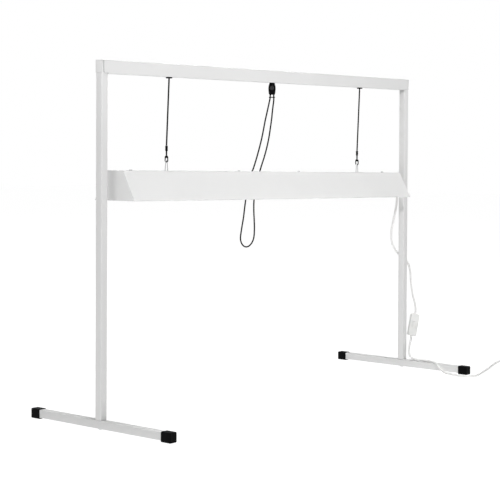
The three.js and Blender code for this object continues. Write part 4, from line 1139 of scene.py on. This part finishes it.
# Share of the thickness and inset, across the rim and then back through the hole
ringRim = [(-1, 0.5), (-0.6, 0.12), (0, 0), (0.6, 0.12), (1, 0.5)]
ringHole = [(1, 0.4), (0.5, 0.08), (-0.5, 0.08), (-1, 0.4)]
sleeve = {"bottom": 49.8, "top": 63.0, "grooves": (2.4, 6.2, 10.0)}
# Radius and distance from the sleeve's end, and from the middle of a groove
sleeveEndRows = [(2.15, 0.4), (2.6, 0.0), (3.1, 0.0), (3.4, 0.4)]
grooveRows = [(3.4, -0.9), (3.0, -0.4), (3.0, 0.4), (3.4, 0.9)]


def makeHanger(side, sign):
    low = side.lower()
    x, y = sign * bars["hangerX"], hood["setBack"]
    z = hood["bottom"] + hood["height"] - x * hangerTilt
    spread, bend, steps = (hanger[k] for k in ("spread", "topRadius", "bendSteps"))
    heights = (z - hanger["below"], z + hanger["shoulder"])
    line = [Vector((x - spread, y, height)) for height in heights]
    for i in range(steps + 1):
        angle = math.pi - math.pi * i / steps
        line.append(Vector((x + bend * math.cos(angle), y, z + hanger["height"] + bend * math.sin(angle))))
    line += [Vector((x + spread, y, height)) for height in reversed(heights)]
    wire, _ = sweptShell(evenRoute(line, hanger["spacing"]), hanger["wire"], hanger["sides"])
    wire.piece(f"hangerWire{side}", "steel", "light", "zinc_steel", (f"hanger_wire_{low}",))

    plate = Shell()
    middle = (ring["top"] + ring["bottom"]) / 2
    drop = (ring["holeTop"] + ring["holeBottom"]) / 2 - middle
    loops = []
    for rows, grow, wide, tall, shift in (
        (ringRim, -1, ring["half"], ring["top"] - ring["bottom"], 0),
        (ringHole, 1, ring["holeHalf"], ring["holeTop"] - ring["holeBottom"], drop),
    ):
        for share, inset in rows:
            more = grow * inset
            outline = roundedLoop(2 * (wide + more), tall + 2 * more, wide - ring["cornerLess"] + more, 8)
            outline = [(a, b + shift) for a, b in outline]
            loops.append(plate.loop(onAxis("X", (x, y, z + middle), share * ring["thick"], outline)))
    plate.chain(loops, closed=True)
    plate.piece(f"hangerRing{side}", "black", "light", "black_plastic", (f"hanger_ring_{low}",), sharp=50)

    stub = [Vector((x, y, z + ring["top"] + ring["cordGap"])), Vector((x, y, z + bars["sleeveTop"]))]
    stubLine = evenRoute(stub, liftCord["spacing"])
    cordPiece(f"cordEnd{side}", stubLine, liftCord, "braid", "lift_cord", (f"cord_end_{low}",), "light")
    bottom = sleeve["bottom"]
    profile = [(r, bottom + d) for r, d in sleeveEndRows]
    profile += [(r, bottom + start + d) for start in sleeve["grooves"] for r, d in grooveRows]
    profile += [(r, sleeve["top"] - d) for r, d in reversed(sleeveEndRows)]
    crimp = turnedShell(profile, "Z", (x, y, z), 36, closed=True)
    crimp.piece(f"cordSleeve{side}", "black", "light", "black_plastic", (f"cord_sleeve_{low}",))


for side, sign in sides:
    makeHanger(side, sign)

print("stage: strain relief, switch, plug")
relief = {
    "y": -4.0, "height": 553.4, "panel": 594.81, "start": 0.2, "reach": 10.2, "tip": 524.7, "bend": 7.2,
    "bendSteps": 16, "spacing": 0.35, "sides": 28, "rootRadius": 5.2, "tipRadius": 3.9, "groove": 0.55,
    "pitch": 3.4, "plainStart": 5, "plainEnd": 2,
}
# Radius and distance from the end panel
collarProfile = [
    (0.1, -3.6), (4.6, -3.6), (4.9, -3.2), (4.9, 0), (6.6, 0.0), (7.0, 0.4), (7.0, 1.9), (6.3, 2.7),
    (5.2, 3.0), (0.1, 3.0),
]


def makeRelief():
    x, y, z = relief["panel"], relief["y"], relief["height"]
    axis = x + relief["reach"]
    corners = [(x + relief["start"], y, z), (axis, y, z), (axis, y, relief["tip"])]
    line = evenRoute(roundedCorners(corners, [relief["bend"]], relief["bendSteps"]), relief["spacing"])
    total = routeLength(line)

    def radius(along):
        taper = (relief["tipRadius"] - relief["rootRadius"]) * along / total
        wave = 0.5 + 0.5 * math.cos(2 * math.pi * along / relief["pitch"])
        ribbed = relief["plainStart"] < along < total - relief["plainEnd"]
        return relief["rootRadius"] + taper - (relief["groove"] * wave if ribbed else 0)

    elbow, _ = sweptShell(line, radius, relief["sides"])
    elbow.add(turnedShell(collarProfile, "X", (x, y, z), 36))
    elbow.piece("strainRelief", "cable", "light", "white_plastic", ("strain_relief",), sharp=60)


makeRelief()

switch = {
    "top": (716.2, 0, 157.4), "foot": (696.3, 0, 90), "turn": -38.0, "width": 27.0, "depth": 18.0,
    "corner": 5.2, "cornerShare": 0.6, "edge": 3.0, "edgeShare": 0.75, "edgeSteps": 7, "gap": 0.3,
    "seam": 0.1, "seamEdge": 0.3, "windowWidth": 11.8, "windowLength": 17.8, "entry": 3.7, "entryDepth": 6,
    "screw": 2.6, "screwPlace": 21.5, "screwDepth": 2.4, "screwPast": 1, "past": 2,
}
above, below = Vector(switch["top"]), Vector(switch["foot"])
switchPlace = (
    Matrix.Translation((above + below) / 2)
    @ Matrix.Rotation(math.atan2(above.x - below.x, above.z - below.z), 4, "Y")
    @ Matrix.Rotation(math.radians(switch["turn"]), 4, "Z")
)
switchLength = (above - below).length - 2 * switch["gap"]


def switchHalf(name, way, node):
    half, edge, seam, past = (switch[k] for k in ("depth", "edge", "seam", "past"))
    half /= 2
    insets = [(seam, switch["seamEdge"]), (seam + switch["seamEdge"], 0.0)]
    for i in range(switch["edgeSteps"] + 1):
        angle = math.pi / 2 * i / switch["edgeSteps"]
        inset = edge * (1 - math.cos(angle)) * switch["edgeShare"]
        insets.append((half - edge * (1 - math.sin(angle)), inset))
    rows = []
    for d, inset in insets:
        corner = switch["corner"] - inset * switch["cornerShare"]
        rows.append((way * d, switch["width"] - 2 * inset, switchLength - 2 * inset, corner))
    shell = loftShell("Y", (0, 0, 0), rows, 8, switchPlace)
    piece = shell.piece(name, "plastic", "frame", "white_plastic", (node,))
    cutters = []
    for end in (-1, 1):
        entry = [(switch["entry"], end * (switchLength / 2 + d)) for d in (past, -switch["entryDepth"])]
        cutters.append(turnedShell(entry, "Z", (0, 0, 0), 28, switchPlace))
    if way < 0:
        wide, tall = switch["windowWidth"] / 2, switch["windowLength"] / 2
        cutters.append(boxShell((-wide, -half - past, -tall), (wide, past, tall), switchPlace))
    else:
        reach = (half + switch["screwPast"], half - switch["screwDepth"])
        screw = [(switch["screw"], d) for d in reach]
        for z in (-switch["screwPlace"], switch["screwPlace"]):
            cutters.append(turnedShell(screw, "Y", (0, 0, z), 28, switchPlace))
    carve(piece, cutters)
    return piece


switchBack = switchHalf("switchBack", 1, "switch_back")
switchFront = switchHalf("switchFront", -1, "switch_front")
switchRocker = refinedPiece("switchRocker", "switch_rocker", "plastic", "rocker", 0.7, 4)

plug = {"face": 47.5, "bladeY": 6.35, "bladeZ": 3.6, "groundZ": -4.5}
# Distance from the lead's end, width, height and corner radius
plugRows = [
    (0.0, 8.4, 8.4, 4.1), (0.6, 9.0, 9.0, 4.4), (3.0, 9.3, 9.3, 4.5), (3.4, 8.6, 8.6, 4.2),
    (4.4, 8.6, 8.6, 4.2), (4.8, 9.8, 9.8, 4.7), (6.6, 10.4, 10.4, 4.9), (7.0, 9.5, 9.5, 4.6),
    (8.0, 9.6, 9.6, 4.7), (8.4, 11.0, 10.8, 5.1), (10.6, 11.9, 11.5, 5.3), (11.0, 11.3, 10.9, 5.1),
    (12.2, 11.6, 11.0, 5.2), (13.6, 14.0, 13.0, 5.7), (15.4, 18.4, 16.2, 6.2), (18.0, 22.4, 18.8, 6.2),
    (22.0, 24.4, 19.7, 5.8), (27.0, 25.0, 20.0, 5.4), (41.0, 25.0, 20.0, 5.2), (45.2, 24.8, 19.8, 5.0),
    (46.6, 24.2, 19.3, 4.8), (47.3, 23.0, 18.2, 4.4), (47.5, 21.6, 16.8, 3.8),
]
# The same of a blade, and radius and distance of the ground pin, both from the plug's face
bladeRows = [(-3, 1.5, 6.3, 0.3), (14.6, 1.5, 6.3, 0.3), (15.6, 1.1, 5.6, 0.3), (16, 0.7, 4.9, 0.3)]
groundProfile = [(0.05, -3), (2.4, -3), (2.4, 17.2), (2.1, 18.2), (1.2, 18.9), (0.05, 19)]
plugTurn = math.atan2(plugHeading.y, plugHeading.x)
plugPlace = Matrix.Translation(plugStart) @ Matrix.Rotation(plugTurn, 4, "Z")


def makePlug():
    shell = loftShell("X", (0, 0, 0), plugRows, 6, plugPlace)
    body = shell.piece("plugBody", "cable", "frame", "white_cable", ("plug",), sharp=40)
    blades = Shell(plugPlace)
    rows = [(plug["face"] + d, *section) for d, *section in bladeRows]
    for y in (-plug["bladeY"], plug["bladeY"]):
        blades.add(loftShell("X", (0, y, plug["bladeZ"]), rows, 3, plugPlace))
    ground = [(r, plug["face"] + d) for r, d in groundProfile]
    blades.add(turnedShell(ground, "X", (0, 0, plug["groundZ"]), 24, plugPlace))
    return body, blades.piece("plugBlades", "brass", "frame", "zinc_steel")


plugBody, plugBlades = makePlug()

band = {
    "angle": 205, "search": 66, "half": 4.0, "outsideHalf": 3.8, "clear": 0.25, "thick": 0.7, "corner": 2.6,
    "offFloor": 0.05,
}


# Band round the strands of the coil, on the side away from the plug
def makeCoilTie():
    angle = math.radians(band["angle"])
    outward = Vector((math.cos(angle), math.sin(angle), 0))
    along = Vector((-outward.y, outward.x, 0))
    strands = [p - coilCentre for p in tailLine if (p - coilCentre).length < band["search"]]
    strands = [p for p in strands if abs(p.dot(along)) < band["half"] and p.dot(outward) > 0]
    reaches = [p.dot(outward) for p in strands]
    room = mainsLead["radius"] + band["clear"]
    inner, outer = min(reaches) - room, max(reaches) + room
    top = max(p.z for p in strands) + coilCentre.z + room
    middle = coilCentre + outward * (inner + outer) / 2
    shell = Shell()
    loops = []
    for thick, across in (
        (0.0, band["half"]), (band["thick"], band["outsideHalf"]), (band["thick"], -band["outsideHalf"]),
        (0.0, -band["half"]),
    ):
        outline = roundedLoop(outer - inner + 2 * thick, top + thick - band["offFloor"], band["corner"], 6)
        height = (top + thick + band["offFloor"]) / 2
        loops.append(
            shell.loop([(*(middle + outward * a + along * across).xy, height + b) for a, b in outline])
        )
    shell.chain(loops, closed=True)
    return shell.piece("coilTie", "tie", "frame", "white_cable")


coilTie = makeCoilTie()

print("stage: floor and light")


studio = {
    "world": 0.08, "seen": 1.0, "mirrored": 0.7, "floorGlow": 0.915, "floorReach": 14, "floorDrop": 0.0004,
    "floorRough": 0.9, "floorScale": 3.0, "floorDetail": 3.0, "floorDark": (0.2, 0.2, 0.2, 1),
    "floorLight": (0.215, 0.215, 0.215, 1), "keyPower": 12, "keyPlace": (-2.5, -3.7, 3.5),
    "keyAim": (0.1, 0.0, 1.2), "keySize": 0.45, "spread": 50, "sidePlace": (-4.2, -1.3, 3.2),
    "sideAim": (0.0, 0.0, 0.6), "sideSize": 1.6, "sidePower": 4, "topPlace": (0, 0, 6), "topSize": 1.6,
    "topPower": 190,
}


def makeFloor():
    mesh = bpy.data.meshes.new("floor")
    reach = studio["floorReach"]
    corners = [(-reach, -reach, 0), (reach, -reach, 0), (reach, reach, 0), (-reach, reach, 0)]
    mesh.from_pydata(corners, [], [(0, 1, 2, 3)])
    floor = bpy.data.objects.new("floor", mesh)
    scene.collection.objects.link(floor)
    floor.location.z = -studio["floorDrop"]
    material, tree, shader = newMaterial(
        "paleFloor", Roughness=studio["floorRough"], Emission_Color=(1, 1, 1, 1),
        Emission_Strength=studio["floorGlow"],
    )
    place = tree.nodes.new("ShaderNodeTexCoord").outputs["Object"]
    share = addNoise(tree, place, studio["floorScale"], studio["floorDetail"])
    linkAll(tree, {"Base Color": addMix(tree, share, studio["floorDark"], studio["floorLight"])}, shader)
    mesh.materials.append(material)
    floor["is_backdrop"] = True


def areaLight(name, place, aim, size, power, spread=180):
    data = bpy.data.lights.new(name, "AREA")
    data.shape = "SQUARE"
    data.size = size
    data.energy = power
    data.spread = math.radians(spread)
    light = bpy.data.objects.new(name, data)
    light.location = place
    light.rotation_mode = "QUATERNION"
    light.rotation_quaternion = (Vector(aim) - Vector(place)).to_track_quat("-Z", "Y")
    scene.collection.objects.link(light)


def makeStudio():
    world = bpy.data.worlds.new("studio")
    scene.world = world
    world.use_nodes = True
    tree = world.node_tree
    back = tree.nodes["Background"]
    back.inputs["Color"].default_value = (1, 1, 1, 1)
    # The backdrop looks white and mirrors as white, but adds only a soft fill
    path = tree.nodes.new("ShaderNodeLightPath").outputs
    mirrored = addRange(tree, path["Is Glossy Ray"], 0.0, 1.0, studio["world"], studio["mirrored"])
    strength = addRange(tree, path["Is Camera Ray"], 0.0, 1.0, mirrored, studio["seen"])
    linkAll(tree, {"Strength": strength}, back)
    for name in ("key", "side"):
        place, aim, size, power = (studio[name + k] for k in ("Place", "Aim", "Size", "Power"))
        areaLight(name, place, aim, size, power, studio["spread"])
    areaLight("overhead", studio["topPlace"], (0, 0, 0), studio["topSize"], studio["topPower"])
    scene.view_settings.view_transform = "Standard"
    scene.view_settings.look = "None"


makeFloor()
makeStudio()

print("stage: finish")
low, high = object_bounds()
